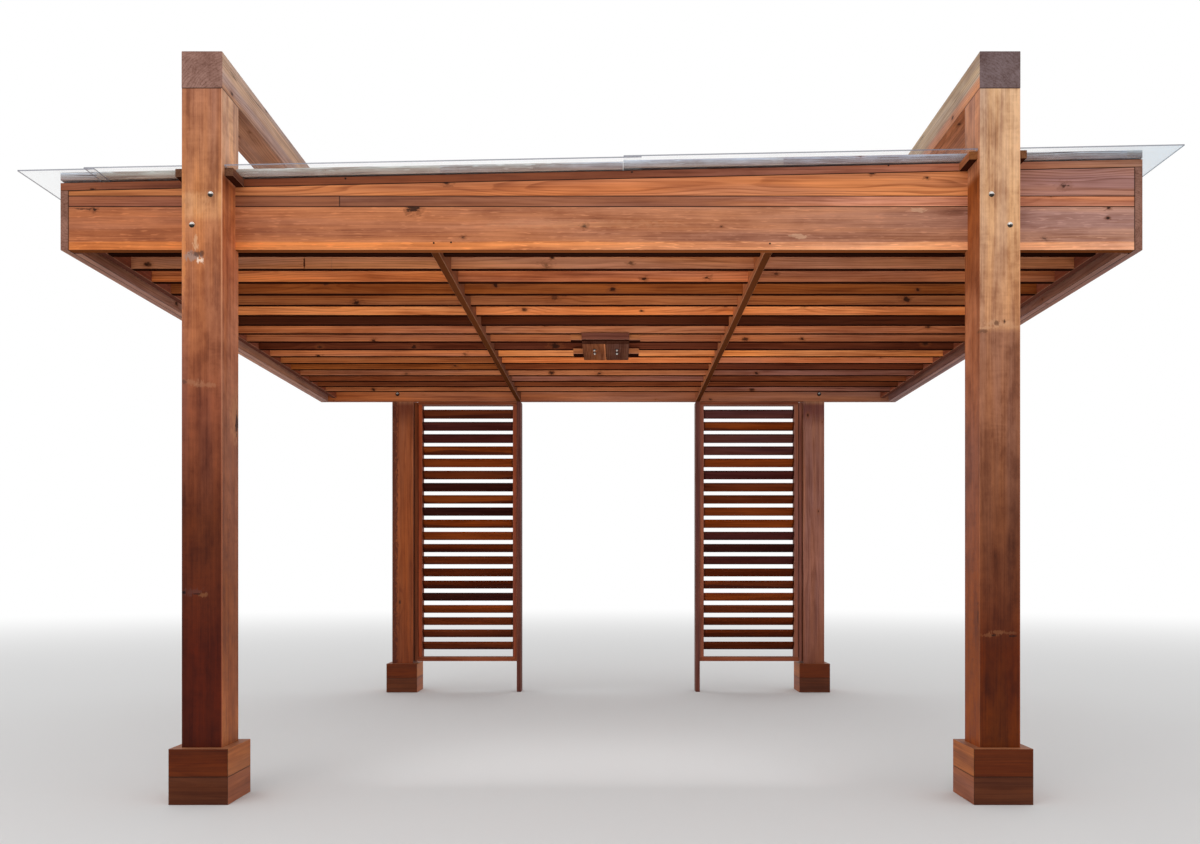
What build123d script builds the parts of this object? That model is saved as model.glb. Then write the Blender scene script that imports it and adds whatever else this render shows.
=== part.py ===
from build123d import *
import math
import os

os.makedirs("parts", exist_ok=True)

# Millimetres. X runs left to right, Y front to back, Z up.
# The origin lies on the ground in the middle of the frame.

# Timber sections
post_side = 190.5
board_thick = 38.1
thin_board = 25.4
narrow_board = 88.9
medium_board = 139.7
edge_ease = 3.0
board_ease = 1.5
lean_allowed = 3.0

# Posts and the beams across their heads
roof_half_width = 2615.0
side_overhang = 750.0
post_spacing_y = 4180.0
post_height = 3340.0
beam_height = 172.0
frame_depth = post_spacing_y + post_side
post_x = roof_half_width - side_overhang
front_y = -frame_depth / 2
rear_y = frame_depth / 2

# Roof edge: a deep lower board, a narrow strip and a board ripped to a taper
roof_drop = 706.0
rim_bottom = post_height - roof_drop
deep_board_height = 211.0
strip_height = 51.0
strip_joint_share = 0.4915
strip_joint_gap = 1.2
taper_low = 26.0
taper_high = 139.7
cap_width = medium_board
rim_front = front_y + post_side - board_thick
rim_back = rim_front + board_thick
rim_rear = -rim_front
rim_inner_x = roof_half_width - board_thick
doubler_inner_x = rim_inner_x - board_thick
strip_joint_x = -rim_inner_x * strip_joint_share
rim_split = rim_bottom + deep_board_height + strip_height
roof_slope = (taper_high - taper_low) / (2 * rim_inner_x)
notch_clear = 2.0
cut_past = 1.0

# Plinth round the foot of each post
plinth_side = 276.0
plinth_height = 258.0
plinth_joint = 1.0
plinth_fit_gap = 0.25
mitre_groove_width = 1.2

# Ceiling of boards on edge in three bays
ledger_gap = 32.7
ledger_outer_x = doubler_inner_x - ledger_gap
ledger_inner_x = ledger_outer_x - board_thick
rib_share = 0.329
rib_x = ledger_inner_x * rib_share
rib_half = board_thick / 2
bay_side = rib_x + rib_half
slat_rise = 32.0
slat_bottom = rim_bottom + slat_rise
slat_height = medium_board
slat_front_margin = 119.5
slat_rear_margin = 279.9
slat_count = 17
slat_room = -2 * rim_back - slat_front_margin - slat_rear_margin - board_thick
slat_pitch = slat_room / (slat_count - 1)
slat_joint_share = 0.3586
slat_joint_x = -bay_side - slat_joint_share * (ledger_inner_x - bay_side)
doubler_set_back = 15.0

# Clear roof sheets
sheet_thick = 6.0
sheet_overhang_side = 120.0
sheet_overhang_front = 140.0
sheet_reach = roof_half_width + sheet_overhang_side
left_sheet_share = 0.0658
right_sheet_share = 0.4653
sheet_left_end = sheet_reach * (2 * left_sheet_share - 1)
sheet_middle_end = sheet_reach * (1 - 2 * right_sheet_share)
lap_left = 50.0
lap_middle = 84.0
sheet_post_clear = 4.0
cleat_side = 41.0
cleat_front_gap = 25.0

# Battens that clamp the sheets to the front and rear caps
batten_thick = board_thick
batten_width = narrow_board
batten_joint_gap = 2.0

# Louvred screens between the rear posts
screen_setback = 25.4
rail_rise = 18.0
rail_bottom = plinth_height + rail_rise
louvre_width = 89.0
louvre_tilt = 50.0
louvre_pitch = 111.3
louvre_first_gap = 40.0

# Mounting block under the ceiling
mount_header_height = 43.0
mount_half_width = 158.0
mount_cross_half = 232.0
mount_plank_gap = 2.0
mount_front_slat = 7
mount_rear_slat = 9
mount_rest_depth = 12.0
mount_plank_lip = 6.0


def box(x0, x1, y0, y1, z0, z1):
    centre = ((x0 + x1) / 2, (y0 + y1) / 2, (z0 + z1) / 2)
    return Pos(*centre) * Box(abs(x1 - x0), abs(y1 - y0), abs(z1 - z0))


def eased(solid, axis, size=board_ease):
    # The angle takes in edges that lean with the roof
    long_edges = solid.edges().filter_by(axis, tolerance=lean_allowed)
    return chamfer(long_edges, size)


def board(x0, x1, y0, y1, z0, z1, axis, size=board_ease):
    return eased(box(x0, x1, y0, y1, z0, z1), axis, size)


def mirrored(solid, plane):
    return mirror(solid, about=plane)


def both_sides(solid):
    return [solid, mirrored(solid, Plane.YZ)]


def cap_under(x):
    return rim_split + (taper_low + taper_high) / 2 + roof_slope * x


def cap_top(x):
    return cap_under(x) + board_thick


def wedge(x0, x1, y0, y1, low, high):
    # A piece whose lower and upper faces are lines across the width of the roof
    corners = [(x0, low(x0)), (x1, low(x1)), (x1, high(x1)), (x0, high(x0))]
    face = make_face(Polyline(*corners, close=True))
    solid = extrude(Plane.XZ * face, amount=-(y1 - y0))
    return Pos(0, y0, 0) * solid


def flat_at(z):
    return lambda x: z


def save(name, solids):
    shape = solids if isinstance(solids, list) else [solids]
    parts = [s for item in shape for s in item.solids()]
    result = parts[0] if len(parts) == 1 else Compound(children=parts)
    result.label = name
    export_step(result, "parts/" + name + ".step")


# Each post is notched across the face that looks into the frame, so the roof edge stands on a shelf in it
def post(side):
    x0 = side * post_x - post_side / 2
    x1 = side * post_x + post_side / 2
    blank = box(x0, x1, front_y, front_y + post_side, 0, post_height)
    blank = fillet(blank.edges().filter_by(Axis.Z), edge_ease)
    notch_top = cap_top(x1) + notch_clear
    notch_back = front_y + post_side + cut_past
    notch = box(x0 - cut_past, x1 + cut_past, rim_front, notch_back, rim_bottom, notch_top)
    return blank - notch


for side, name in ((-1, "left"), (1, "right")):
    front_post = post(side)
    save("front_" + name + "_post", front_post)
    save("rear_" + name + "_post", mirrored(front_post, Plane.XZ))


# The plinth is two courses of boards mitred round the post
def plinth_course(z0, z1):
    outer = Box(plinth_side, plinth_side, z1 - z0)
    outer = chamfer(outer.edges().filter_by(Axis.Z), edge_ease)
    hole = post_side + 2 * plinth_fit_gap
    ring = outer - Box(hole, hole, z1 - z0)
    reach = plinth_side * 2
    groove = Box(reach, mitre_groove_width, mitre_groove_width)
    for turn in (45, -45):
        ring -= Pos(0, 0, (z1 - z0) / 2) * Rot(0, 0, turn) * groove
    return Pos(0, 0, (z0 + z1) / 2) * ring


def plinth():
    middle = plinth_height / 2
    lower = plinth_course(0, middle - plinth_joint / 2)
    upper = plinth_course(middle + plinth_joint / 2, plinth_height)
    return [lower, upper]


post_centre_y = front_y + post_side / 2
front_plinths = [Pos(side * post_x, post_centre_y, 0) * course for side in (-1, 1) for course in plinth()]
save("front_plinths", front_plinths)
save("rear_plinths", [mirrored(p, Plane.XZ) for p in front_plinths])

# Heavy beams lie front to back on the post heads, above the roof
for side, name in ((-1, "left"), (1, "right")):
    x0 = side * post_x - post_side / 2
    beam = box(x0, x0 + post_side, front_y, rear_y, post_height, post_height + beam_height)
    save(name + "_top_beam", fillet(beam.edges().filter_by(Axis.Y), edge_ease))

# Roof edge, front: the boards fit between the side rims
deep_top = rim_bottom + deep_board_height
front_deep = board(-rim_inner_x, rim_inner_x, rim_front, rim_back, rim_bottom, deep_top, Axis.X)
save("front_rim_board", front_deep)
strip_left = board(-rim_inner_x, strip_joint_x, rim_front, rim_back, deep_top, rim_split, Axis.X)
strip_start = strip_joint_x + strip_joint_gap
strip_right = board(strip_start, rim_inner_x, rim_front, rim_back, deep_top, rim_split, Axis.X)
save("front_rim_strip", [strip_left, strip_right])
taper = wedge(-rim_inner_x, rim_inner_x, rim_front, rim_back, flat_at(rim_split), cap_under)
taper = eased(taper, Axis.X)
save("front_rim_taper", taper)

# Roof edge, rear: one full board below the same taper
rear_deep = board(-rim_inner_x, rim_inner_x, -rim_back, rim_rear, rim_bottom, rim_split, Axis.X)
save("rear_rim_board", rear_deep)
save("rear_rim_taper", mirrored(taper, Plane.XZ))

# Roof edge, sides: the same two layers, with an inner board that doubles the lower one
side_board = board(rim_inner_x, roof_half_width, rim_front, rim_rear, rim_bottom, rim_split, Axis.Y)
save("side_rim_boards", both_sides(side_board))
for side, name in ((-1, "left"), (1, "right")):
    x0 = min(side * rim_inner_x, side * roof_half_width)
    upper = wedge(x0, x0 + board_thick, rim_front, rim_rear, flat_at(rim_split), cap_under)
    save(name + "_rim_upper", eased(upper, Axis.Y))
doubler_start = rim_back + doubler_set_back
doubler = board(doubler_inner_x, rim_inner_x, doubler_start, -doubler_start, rim_bottom, rim_split, Axis.Y)
save("side_rim_doublers", both_sides(doubler))

# Flat cap boards follow the fall of the roof
cap_back = rim_front + cap_width
front_cap = wedge(-roof_half_width, roof_half_width, rim_front, cap_back, cap_under, cap_top)
front_cap = eased(front_cap, Axis.X)
save("front_cap", front_cap)
save("rear_cap", mirrored(front_cap, Plane.XZ))
cap_inner_x = roof_half_width - cap_width
left_cap = wedge(-roof_half_width, -cap_inner_x, cap_back, -cap_back, cap_under, cap_top)
right_cap = wedge(cap_inner_x, roof_half_width, cap_back, -cap_back, cap_under, cap_top)
save("side_caps", [eased(left_cap, Axis.Y), eased(right_cap, Axis.Y)])

# Two deep ribs divide the ceiling, and a tapered board on each carries the sheets
rib = board(rib_x - rib_half, rib_x + rib_half, rim_back, -rim_back, rim_bottom, rim_split, Axis.Y)
save("rib_lower_boards", both_sides(rib))
rib_uppers = []
for side in (-1, 1):
    x0 = side * rib_x - rib_half
    upper = wedge(x0, x0 + board_thick, cap_back, -cap_back, flat_at(rim_split), cap_top)
    rib_uppers.append(eased(upper, Axis.Y))
save("rib_upper_boards", rib_uppers)

# Ledgers stop the ceiling boards short of the side rims
slat_top = slat_bottom + slat_height
ledger = board(ledger_inner_x, ledger_outer_x, rim_back, -rim_back, slat_bottom, slat_top, Axis.Y)
save("side_ledgers", both_sides(ledger))


def slat_front(index):
    return rim_back + slat_front_margin + index * slat_pitch


def slat_row(x0, x1):
    rows = []
    for index in range(slat_count):
        y0 = slat_front(index)
        rows.append(board(x0, x1, y0, y0 + board_thick, slat_bottom, slat_top, Axis.X))
    return rows


save("ceiling_slats_middle", slat_row(-rib_x + rib_half, rib_x - rib_half))
save("ceiling_slats_right", slat_row(bay_side, ledger_inner_x))
left_rows = slat_row(-ledger_inner_x, -bay_side)
joint_y = slat_front(1)
joint_cut = box(slat_joint_x, slat_joint_x + strip_joint_gap, joint_y, joint_y + board_thick, 0, post_height)
left_rows[1] = left_rows[1] - joint_cut
save("ceiling_slats_left", left_rows)

# The clear sheets lap towards the low side, and each is cut round the posts it meets
sheet_front = rim_front - sheet_overhang_front
middle_lap_x = sheet_middle_end - lap_middle


def sheet_line(high_x, bearing_x, lift):
    # The underside lies on the cap at its high end, and is lifted by its neighbour at bearing_x
    pitch = (cap_top(high_x) - cap_top(bearing_x) - lift) / (high_x - bearing_x)

    def under(x):
        return cap_top(high_x) + pitch * (x - high_x)

    return under


def above(line, amount):
    def raised(x):
        return line(x) + amount

    return raised


def sheet(x0, x1, line):
    return wedge(x0, x1, sheet_front, -sheet_front, line, above(line, sheet_thick))


def post_notch(side, rear):
    half = post_side / 2 + sheet_post_clear
    x0 = side * post_x - half
    inner_y = front_y + post_side + sheet_post_clear
    outer_y = min(front_y, sheet_front) - cut_past
    cut = box(x0, x0 + 2 * half, outer_y, inner_y, 0, post_height)
    return mirrored(cut, Plane.XZ) if rear else cut


left_line = sheet_line(sheet_left_end, -sheet_reach, 0)
middle_line = sheet_line(sheet_middle_end, sheet_left_end, sheet_thick)
right_line = sheet_line(sheet_reach, sheet_middle_end, sheet_thick)
sheets = {
    "roof_sheet_left": sheet(-sheet_reach, sheet_left_end, left_line),
    "roof_sheet_middle": sheet(sheet_left_end - lap_left, sheet_middle_end, middle_line),
    "roof_sheet_right": sheet(middle_lap_x, sheet_reach, right_line),
}
for name, blank in sheets.items():
    for side in (-1, 1):
        for rear in (False, True):
            blank = blank - post_notch(side, rear)
    save(name, blank)


# Each batten lies flat on one sheet, so the run between the posts is butted at the lap
def batten(x0, x1, line):
    low = above(line, sheet_thick)
    high = above(line, sheet_thick + batten_thick)
    blank = wedge(x0, x1, rim_front, rim_front + batten_width, low, high)
    return eased(blank, Axis.X)


batten_inner_x = post_x - post_side / 2 - sheet_post_clear
batten_outer_x = post_x + post_side / 2 + sheet_post_clear
front_battens = [
    batten(-roof_half_width, -batten_outer_x, middle_line),
    batten(-batten_inner_x, middle_lap_x - batten_joint_gap, middle_line),
    batten(middle_lap_x, batten_inner_x, right_line),
    batten(batten_outer_x, roof_half_width, right_line),
]
save("front_battens", front_battens)
save("rear_battens", [mirrored(b, Plane.XZ) for b in front_battens])


# Cleats beside each post carry the sheet where it is cut
def cleat(side, inward):
    start = side * post_x + inward * post_side / 2
    end = start + inward * cleat_side
    x0 = min(start, end)
    x1 = max(start, end)
    blank = wedge(x0, x1, front_y + cleat_front_gap, rim_front, cap_under, cap_top)
    return eased(blank, Axis.Y)


front_cleats = [cleat(side, inward) for side in (-1, 1) for inward in (-1, 1)]
save("front_post_cleats", front_cleats)
save("rear_post_cleats", [mirrored(c, Plane.XZ) for c in front_cleats])

# Screens: mullions stand on the ground under the ribs
screen_plane = -rim_back
mullion_x0 = rib_x - rib_half
mullion_x1 = rib_x + rib_half
mullion = board(mullion_x0, mullion_x1, screen_plane, screen_plane + medium_board, 0, rim_bottom, Axis.Z)
save("screen_mullions", both_sides(mullion))

frame_front = screen_plane + screen_setback
frame_back = frame_front + narrow_board
frame_middle = (frame_front + frame_back) / 2
post_face_x = post_x - post_side / 2
nailer_x0 = post_face_x - board_thick
nailer_front = frame_middle - rib_half
nailer_back = frame_middle + rib_half
nailer = board(nailer_x0, post_face_x, nailer_front, nailer_back, rail_bottom, rim_bottom, Axis.Z)
save("screen_nailers", both_sides(nailer))

rail_top = rail_bottom + board_thick
head_bottom = rim_bottom - thin_board
sill = board(mullion_x1, nailer_x0, frame_front, frame_back, rail_bottom, rail_top, Axis.X)
save("screen_bottom_rails", both_sides(sill))
head = board(mullion_x1, nailer_x0, frame_front, frame_back, head_bottom, rim_bottom, Axis.X)
save("screen_top_rails", both_sides(head))

stile_inner_end = mullion_x1 + board_thick
stile_outer_start = nailer_x0 - board_thick
inner_stile = board(mullion_x1, stile_inner_end, frame_front, frame_back, rail_top, head_bottom, Axis.Z)
outer_stile = board(stile_outer_start, nailer_x0, frame_front, frame_back, rail_top, head_bottom, Axis.Z)
save("screen_stiles", both_sides(inner_stile) + both_sides(outer_stile))

# The louvres lean with their front edges high
tilt = math.radians(louvre_tilt)
louvre_rise = louvre_width * math.cos(tilt) + thin_board * math.sin(tilt)
louvre_room = head_bottom - louvre_first_gap - rail_top
louvre_count = int(louvre_room / louvre_pitch)
louvre_length = stile_outer_start - stile_inner_end
louvre_x = (stile_outer_start + stile_inner_end) / 2
blade = chamfer(Box(louvre_length, thin_board, louvre_width).edges().filter_by(Axis.X), board_ease)
louvres = []
for index in range(louvre_count):
    z = head_bottom - louvre_first_gap - louvre_rise / 2 - index * louvre_pitch
    louvres.append(Pos(louvre_x, frame_middle, z) * Rot(louvre_tilt, 0, 0) * blade)
save("right_screen_louvres", louvres)
save("left_screen_louvres", [mirrored(b, Plane.YZ) for b in louvres])

# Mounting block: two cross boards under the ceiling boards, planks below them, and a header in front
cross_front = slat_front(mount_front_slat) + board_thick - mount_rest_depth
cross_rear = slat_front(mount_rear_slat) + board_thick / 2 + narrow_board / 2
cross_bottom = slat_bottom - board_thick
cross_boards = []
for y0 in (cross_front, cross_rear - narrow_board):
    y1 = y0 + narrow_board
    cross_boards.append(board(-mount_cross_half, mount_cross_half, y0, y1, cross_bottom, slat_bottom, Axis.X))
save("mount_cross_boards", cross_boards)
header_bottom = slat_bottom - mount_header_height
header_front = cross_front - board_thick
header = board(-mount_half_width, mount_half_width, header_front, cross_front, header_bottom, slat_bottom, Axis.X)
save("mount_header", header)
plank_front = cross_front + mount_plank_lip
plank_bottom = cross_bottom - thin_board
plank = board(mount_plank_gap / 2, mount_half_width, plank_front, cross_rear, plank_bottom, cross_bottom, Axis.Y)
save("mount_planks", both_sides(plank))
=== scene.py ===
# %% [markdown]
# # A timber pergola under a clear lean-to roof
# Four notched posts carry two heavy beams, a roof edge of boards, a ceiling of boards on edge and a roof of
# clear sheets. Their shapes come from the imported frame. This lesson is about what makes them look real: stained
# cedar with its rings and knots, silvered battens, dusty clear sheet, bright steel fixings, and even light.

# %% Load the frame
import math
import bmesh
import bpy
from mathutils import Matrix, Vector


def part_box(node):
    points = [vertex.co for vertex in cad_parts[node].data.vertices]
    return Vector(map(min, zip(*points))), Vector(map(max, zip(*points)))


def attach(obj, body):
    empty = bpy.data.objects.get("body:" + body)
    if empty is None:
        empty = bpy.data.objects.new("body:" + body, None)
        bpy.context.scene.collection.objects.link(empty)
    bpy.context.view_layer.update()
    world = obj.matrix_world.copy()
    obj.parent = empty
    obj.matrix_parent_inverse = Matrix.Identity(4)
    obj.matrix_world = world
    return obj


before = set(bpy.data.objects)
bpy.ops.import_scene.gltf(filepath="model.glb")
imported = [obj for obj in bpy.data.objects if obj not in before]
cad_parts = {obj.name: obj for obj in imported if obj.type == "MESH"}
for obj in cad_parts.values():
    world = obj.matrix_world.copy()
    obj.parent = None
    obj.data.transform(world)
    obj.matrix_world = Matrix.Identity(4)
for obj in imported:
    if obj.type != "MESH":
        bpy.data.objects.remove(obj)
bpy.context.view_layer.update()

# %% [markdown]
# Colours are chosen as hex values, as a painter's chart gives them. Blender's sockets want linear light, so
# one function turns a hex value into linear red, green, blue and alpha. Every colour below goes through it.

# %% Colour
def stain(chart):
    """A hex colour such as b3704c as linear RGBA."""
    parts = [int(chart[i:i + 2], 16) / 255 for i in (0, 2, 4)]
    return [c / 12.92 if c <= 0.04045 else ((c + 0.055) / 1.055) ** 2.4 for c in parts] + [1.0]


print("mid cedar is", [round(c, 3) for c in stain("b3704c")])

# %% [markdown]
# Every finish is a small network of nodes. One function adds a node: its settings, its colour stops if it is a
# ramp, and its inputs, each a number or another node's socket. It hands back one output, so that calls chain.
# A Mix node has sockets for each kind of data. For colours they are 6 and 7, socket 0 takes the share of the
# second, and the result is output 2. One colour covers the other, or as a glaze multiplies it.

# %% Nodes
COVER = {"out": 2, "data_type": "RGBA"}
GLAZE = {**COVER, "blend_type": "MULTIPLY"}


def add(tree, kind, inputs=None, out=0, stops=None, **settings):
    made = tree.nodes.new("ShaderNode" + kind)
    for name, value in settings.items():
        setattr(made, name, value)
    if stops:
        dots = made.color_ramp.elements
        dots.remove(dots[1])
        dots[0].position, dots[0].color = stops[0]
        for place, colour in stops[1:]:
            dots.new(place).color = colour
    for name, value in (inputs or {}).items():
        if isinstance(value, bpy.types.NodeSocket):
            tree.links.new(value, made.inputs[name])
        else:
            made.inputs[name].default_value = value
    return made.outputs[out]


# %% [markdown]
# A MapRange node turns one range of a value into another, such as 3 to 9 mm off an edge into a strength of 1 to
# 0. It has five inputs with long names, and span writes them out. Two more helpers open a material and close it.

# %% Ranges, and a material's beginning and end
def span(value, start, end, first=0.0, last=1.0):
    """What a MapRange takes for a value that goes from start to end and comes out as first to last."""
    return {"Value": value, "From Min": start, "From Max": end, "To Min": first, "To Max": last}


def new_finish(name):
    finish = bpy.data.materials.new(name)
    finish.use_nodes = True
    finish.node_tree.nodes.clear()
    return finish, finish.node_tree


def close_finish(tree, **sockets):
    """Ends a network in a surface with the given sockets."""
    shader = add(tree, "BsdfPrincipled", {name.replace("_", " "): value for name, value in sockets.items()})
    tree.links.new(shader, tree.nodes.new("ShaderNodeOutputMaterial").inputs["Surface"])


# %% [markdown]
# ## Cedar
# Boards of one bay are a single piece of the frame, but each came from its own log. So space is cut into cells,
# one to a board: a point's cell number rolls the dice for that board, and its place in the cell, turned so that
# the first number runs along the grain, tells where in the board it lies.

# %% Board by board
TURNS = {"X": ("X", "Y", "Z"), "Y": ("Y", "Z", "X"), "Z": ("Z", "X", "Y")}
HALF = (0.5, 0.5, 0.5)


def lay_boards(tree, along, centre, cell, seed=0.0):
    """Each point's place in its board (along, across, across), the board's dice and its number."""
    coords = add(tree, "TexCoord", out="Object")
    wood = {"tree": tree, "place": coords, "face": coords.node.outputs["Normal"]}
    moved = add(tree, "VectorMath", {0: coords, 1: centre}, operation="SUBTRACT")
    shared = add(tree, "VectorMath", {0: moved, 1: cell}, operation="DIVIDE")
    nearest = add(tree, "VectorMath", {0: shared, 1: HALF}, operation="ADD")
    number = add(tree, "VectorMath", {0: nearest}, operation="FLOOR")
    start = add(tree, "VectorMath", {0: number, 1: cell}, operation="MULTIPLY")
    local = add(tree, "VectorMath", {0: moved, 1: start}, operation="SUBTRACT")
    axes = add(tree, "SeparateXYZ", {0: local}).node.outputs
    wood["local"] = add(tree, "CombineXYZ", {i: axes[a] for i, a in enumerate(TURNS[along])})
    wood["dice"] = add(tree, "TexWhiteNoise", {"Vector": number, "W": seed}, out="Color", noise_dimensions="4D")
    wood["number"] = number
    return wood


# %% [markdown]
# The figure is worked out in depth, not painted on. A log grows in rings round its heart, and the heart wanders
# a little as it climbs. A point's distance from it gives the rings, so a face sawn along the log shows long
# arches, and a cut end shows arcs.

# %% The heart of the log
SWAY_TURNS = (0.9, 3.0, 3.0)  # to a metre, along the log and across it
SWAY = (0.0, 0.09, 0.09)  # metres from side to side
DICE_MIDDLE = (0.5, 0.5, 0.35)
HEART_ROOM = (0.0, 0.10, 0.12)  # metres across the board in which its own heart may lie


def from_the_heart(wood, heart):
    tree = wood["tree"]
    slow = add(tree, "VectorMath", {0: wood["spread"], 1: SWAY_TURNS}, operation="MULTIPLY")
    sway = add(tree, "TexNoise", {"Vector": slow, "Scale": 1.0, "Detail": 2.0, "Roughness": 0.4}, out="Color")
    sway = add(tree, "VectorMath", {0: sway, 1: HALF}, operation="SUBTRACT")
    sway = add(tree, "VectorMath", {0: sway, 1: SWAY}, operation="MULTIPLY")
    if heart is None:
        heart = add(tree, "VectorMath", {0: wood["dice"], 1: DICE_MIDDLE}, operation="SUBTRACT")
        heart = add(tree, "VectorMath", {0: heart, 1: HEART_ROOM}, operation="MULTIPLY")
    out = add(tree, "VectorMath", {0: wood["local"], 1: (0.0, 1.0, 1.0)}, operation="MULTIPLY")
    out = add(tree, "VectorMath", {0: out, 1: heart}, operation="SUBTRACT")
    out = add(tree, "VectorMath", {0: out, 1: sway}, operation="ADD")
    return add(tree, "VectorMath", {0: out}, out="Value", operation="LENGTH")


# %% [markdown]
# Knots are where branches left the log. A cell texture sows them over the faces, one to half a metre of board
# at most. Each has a dark heart, a ragged brown edge and a soft halo, and pushes the rings aside.

# %% Knots
KNOT_ROOM = (0.42, 0.15, 1.0)  # metres of board, along and round it, that hold one knot at most
SMALLEST_KNOT = 0.003
RAGGED = 0.016  # metres from the innermost to the outermost crumb of a knot's edge
KNOT_PARTS = (("heart", -0.011, -0.004), ("knot", -0.005, 0.001), ("halo", -0.002, 0.016))  # metres off the edge
KNOT_REACH = (9.0, 26.0, 0.0)  # one over the metres, along and across, at which the rings settle again
PUSH = 1.6


def sow_knots(wood, share, largest):
    """Adds the knots' masks to wood, and gives back how far they push the rings."""
    tree, spread = wood["tree"], wood["spread"]
    run = add(tree, "SeparateXYZ", {0: spread}).node.outputs
    girth = add(tree, "Math", {0: run["Y"], 1: run["Z"]}, operation="ADD")
    sown = add(tree, "CombineXYZ", {0: run["X"], 1: girth})
    sown = add(tree, "VectorMath", {0: sown, 1: KNOT_ROOM}, operation="DIVIDE")
    knot = add(tree, "TexVoronoi", {"Vector": sown, "Scale": 1.0}, out="Position", voronoi_dimensions="2D")
    off = add(tree, "VectorMath", {0: sown, 1: knot}, operation="SUBTRACT")
    off = add(tree, "VectorMath", {0: off, 1: KNOT_ROOM}, operation="MULTIPLY")
    luck = add(tree, "SeparateXYZ", {0: knot.node.outputs["Color"]})
    size = add(tree, "MapRange", span(luck, 1.0 - share, 1.0, 0.0, largest))
    squat = add(tree, "VectorMath", {0: off, 1: (0.6, 1.0, 0.0)}, operation="MULTIPLY")
    away = add(tree, "VectorMath", {0: squat}, out="Value", operation="LENGTH")
    crumb = add(tree, "TexNoise", {"Vector": spread, "Scale": 90.0, "Detail": 2.0})
    crumb = add(tree, "Math", {0: crumb, 1: RAGGED, 2: -RAGGED / 2}, operation="MULTIPLY_ADD")
    edge = add(tree, "Math", {0: away, 1: size}, operation="SUBTRACT")
    edge = add(tree, "Math", {0: edge, 1: crumb}, operation="ADD")
    there = add(tree, "Math", {0: size, 1: SMALLEST_KNOT}, operation="GREATER_THAN")
    for name, near, far in KNOT_PARTS:
        mask = add(tree, "MapRange", span(edge, near, far, 1.0, 0.0), interpolation_type="SMOOTHSTEP")
        wood[name] = add(tree, "Math", {0: mask, 1: there}, operation="MULTIPLY")
    drawn = add(tree, "VectorMath", {0: off, 1: KNOT_REACH}, operation="MULTIPLY")
    nearby = add(tree, "VectorMath", {0: drawn, 1: drawn}, out="Value", operation="DOT_PRODUCT")
    fade = add(tree, "Math", {0: math.exp(-1.0), 1: nearby}, operation="POWER")
    push = add(tree, "Math", {0: size, 1: fade}, operation="MULTIPLY")
    return add(tree, "Math", {0: push, 1: PUSH}, operation="MULTIPLY")


# %% [markdown]
# A ring is slow pale wood that ends in a thin dark line. Cedar's rings are 2 to 4 mm wide, less than a pixel from
# where the camera stands, so they are drawn 13 mm wide. No two years are alike, so their width varies.

# %% Growth rings
RING = 0.013  # metres
LATE = [(0.0, (0, 0, 0, 1)), (0.5, (0.12, 0.12, 0.12, 1)), (0.84, (1, 1, 1, 1)), (0.93, (0.9, 0.9, 0.9, 1)),
        (1.0, (0, 0, 0, 1))]
YEAR_TURNS = (1.2, 16.0, 16.0)  # to a metre: how soon good and bad years change places
UNEVEN = 0.035  # metres that they shift the rings


def dark_lines(wood, reach, width):
    tree = wood["tree"]
    years = add(tree, "VectorMath", {0: wood["spread"], 1: YEAR_TURNS}, operation="MULTIPLY")
    years = add(tree, "TexNoise", {"Vector": years, "Scale": 1.0, "Detail": 1.0})
    reach = add(tree, "Math", {0: years, 1: UNEVEN, 2: reach}, operation="MULTIPLY_ADD")
    turns = add(tree, "Math", {0: reach, 1: width}, operation="DIVIDE")
    ring = add(tree, "Math", {0: turns}, operation="FRACT")
    return add(tree, "ValToRGB", {0: ring}, stops=LATE)


# %% [markdown]
# Besides the rings a board has fine fibres and longer streaks, clouds where the stain took unevenly, blots where
# weather has worn it, patches of curl, which is a faint banding across the grain, pale flecks and drying cracks.
# Each is a noise, stretched along the grain by as much as the real thing is. The finest fibres are a tenth of a
# millimetre wide and wouldn't show, so they are drawn 7 mm wide.

# %% Noises along the grain
GRAINS = {"cloud": (1.5, 11.0, {"Detail": 3.0, "Roughness": 0.55}),  # turns to a metre along and across the grain
          "fibre": (2.2, 150.0, {"Detail": 3.0, "Roughness": 0.6}),
          "streak": (1.1, 48.0, {"Detail": 2.0, "Roughness": 0.5}),
          "blot": (7.0, 15.0, {"Detail": 5.0, "Roughness": 0.62}),
          "curl": (36.0, 9.0, {"Detail": 2.0, "Distortion": 0.8}),
          "fleck": (14.0, 130.0, {"Detail": 2.0}),
          "crack": (0.8, 32.0, {"Detail": 1.0}),
          "crumb": (32.0, 75.0, {"Detail": 4.0, "Roughness": 0.7}),
          "hue": (0.9, 14.0, {"Detail": 2.0}),
          "heartwood": (1.3, 1.0, {"Detail": 1.0})}


def stretched(wood, kind):
    along, across, fineness = GRAINS[kind]
    drawn = add(wood["tree"], "VectorMath", {0: wood["spread"], 1: (along, across, across)}, operation="MULTIPLY")
    return add(wood["tree"], "TexNoise", {"Vector": drawn, "Scale": 1.0, **fineness})


print(len(GRAINS), "noises for cedar")

# %% [markdown]
# Their sum is one number, light, where 0.5 is the stain's own tone. Each is weighed by how much it shows on the
# real boards, and a piece may ask for more or less of any. Curl and cracks keep to some of the clouds.

# %% The figure of cedar
def weigh(wood, value, middle, weight, total):
    """total plus weight times how far value is from its middle."""
    off = add(wood["tree"], "Math", {0: value, 1: middle}, operation="SUBTRACT")
    return add(wood["tree"], "Math", {0: off, 1: weight, 2: total}, operation="MULTIPLY_ADD")


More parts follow.
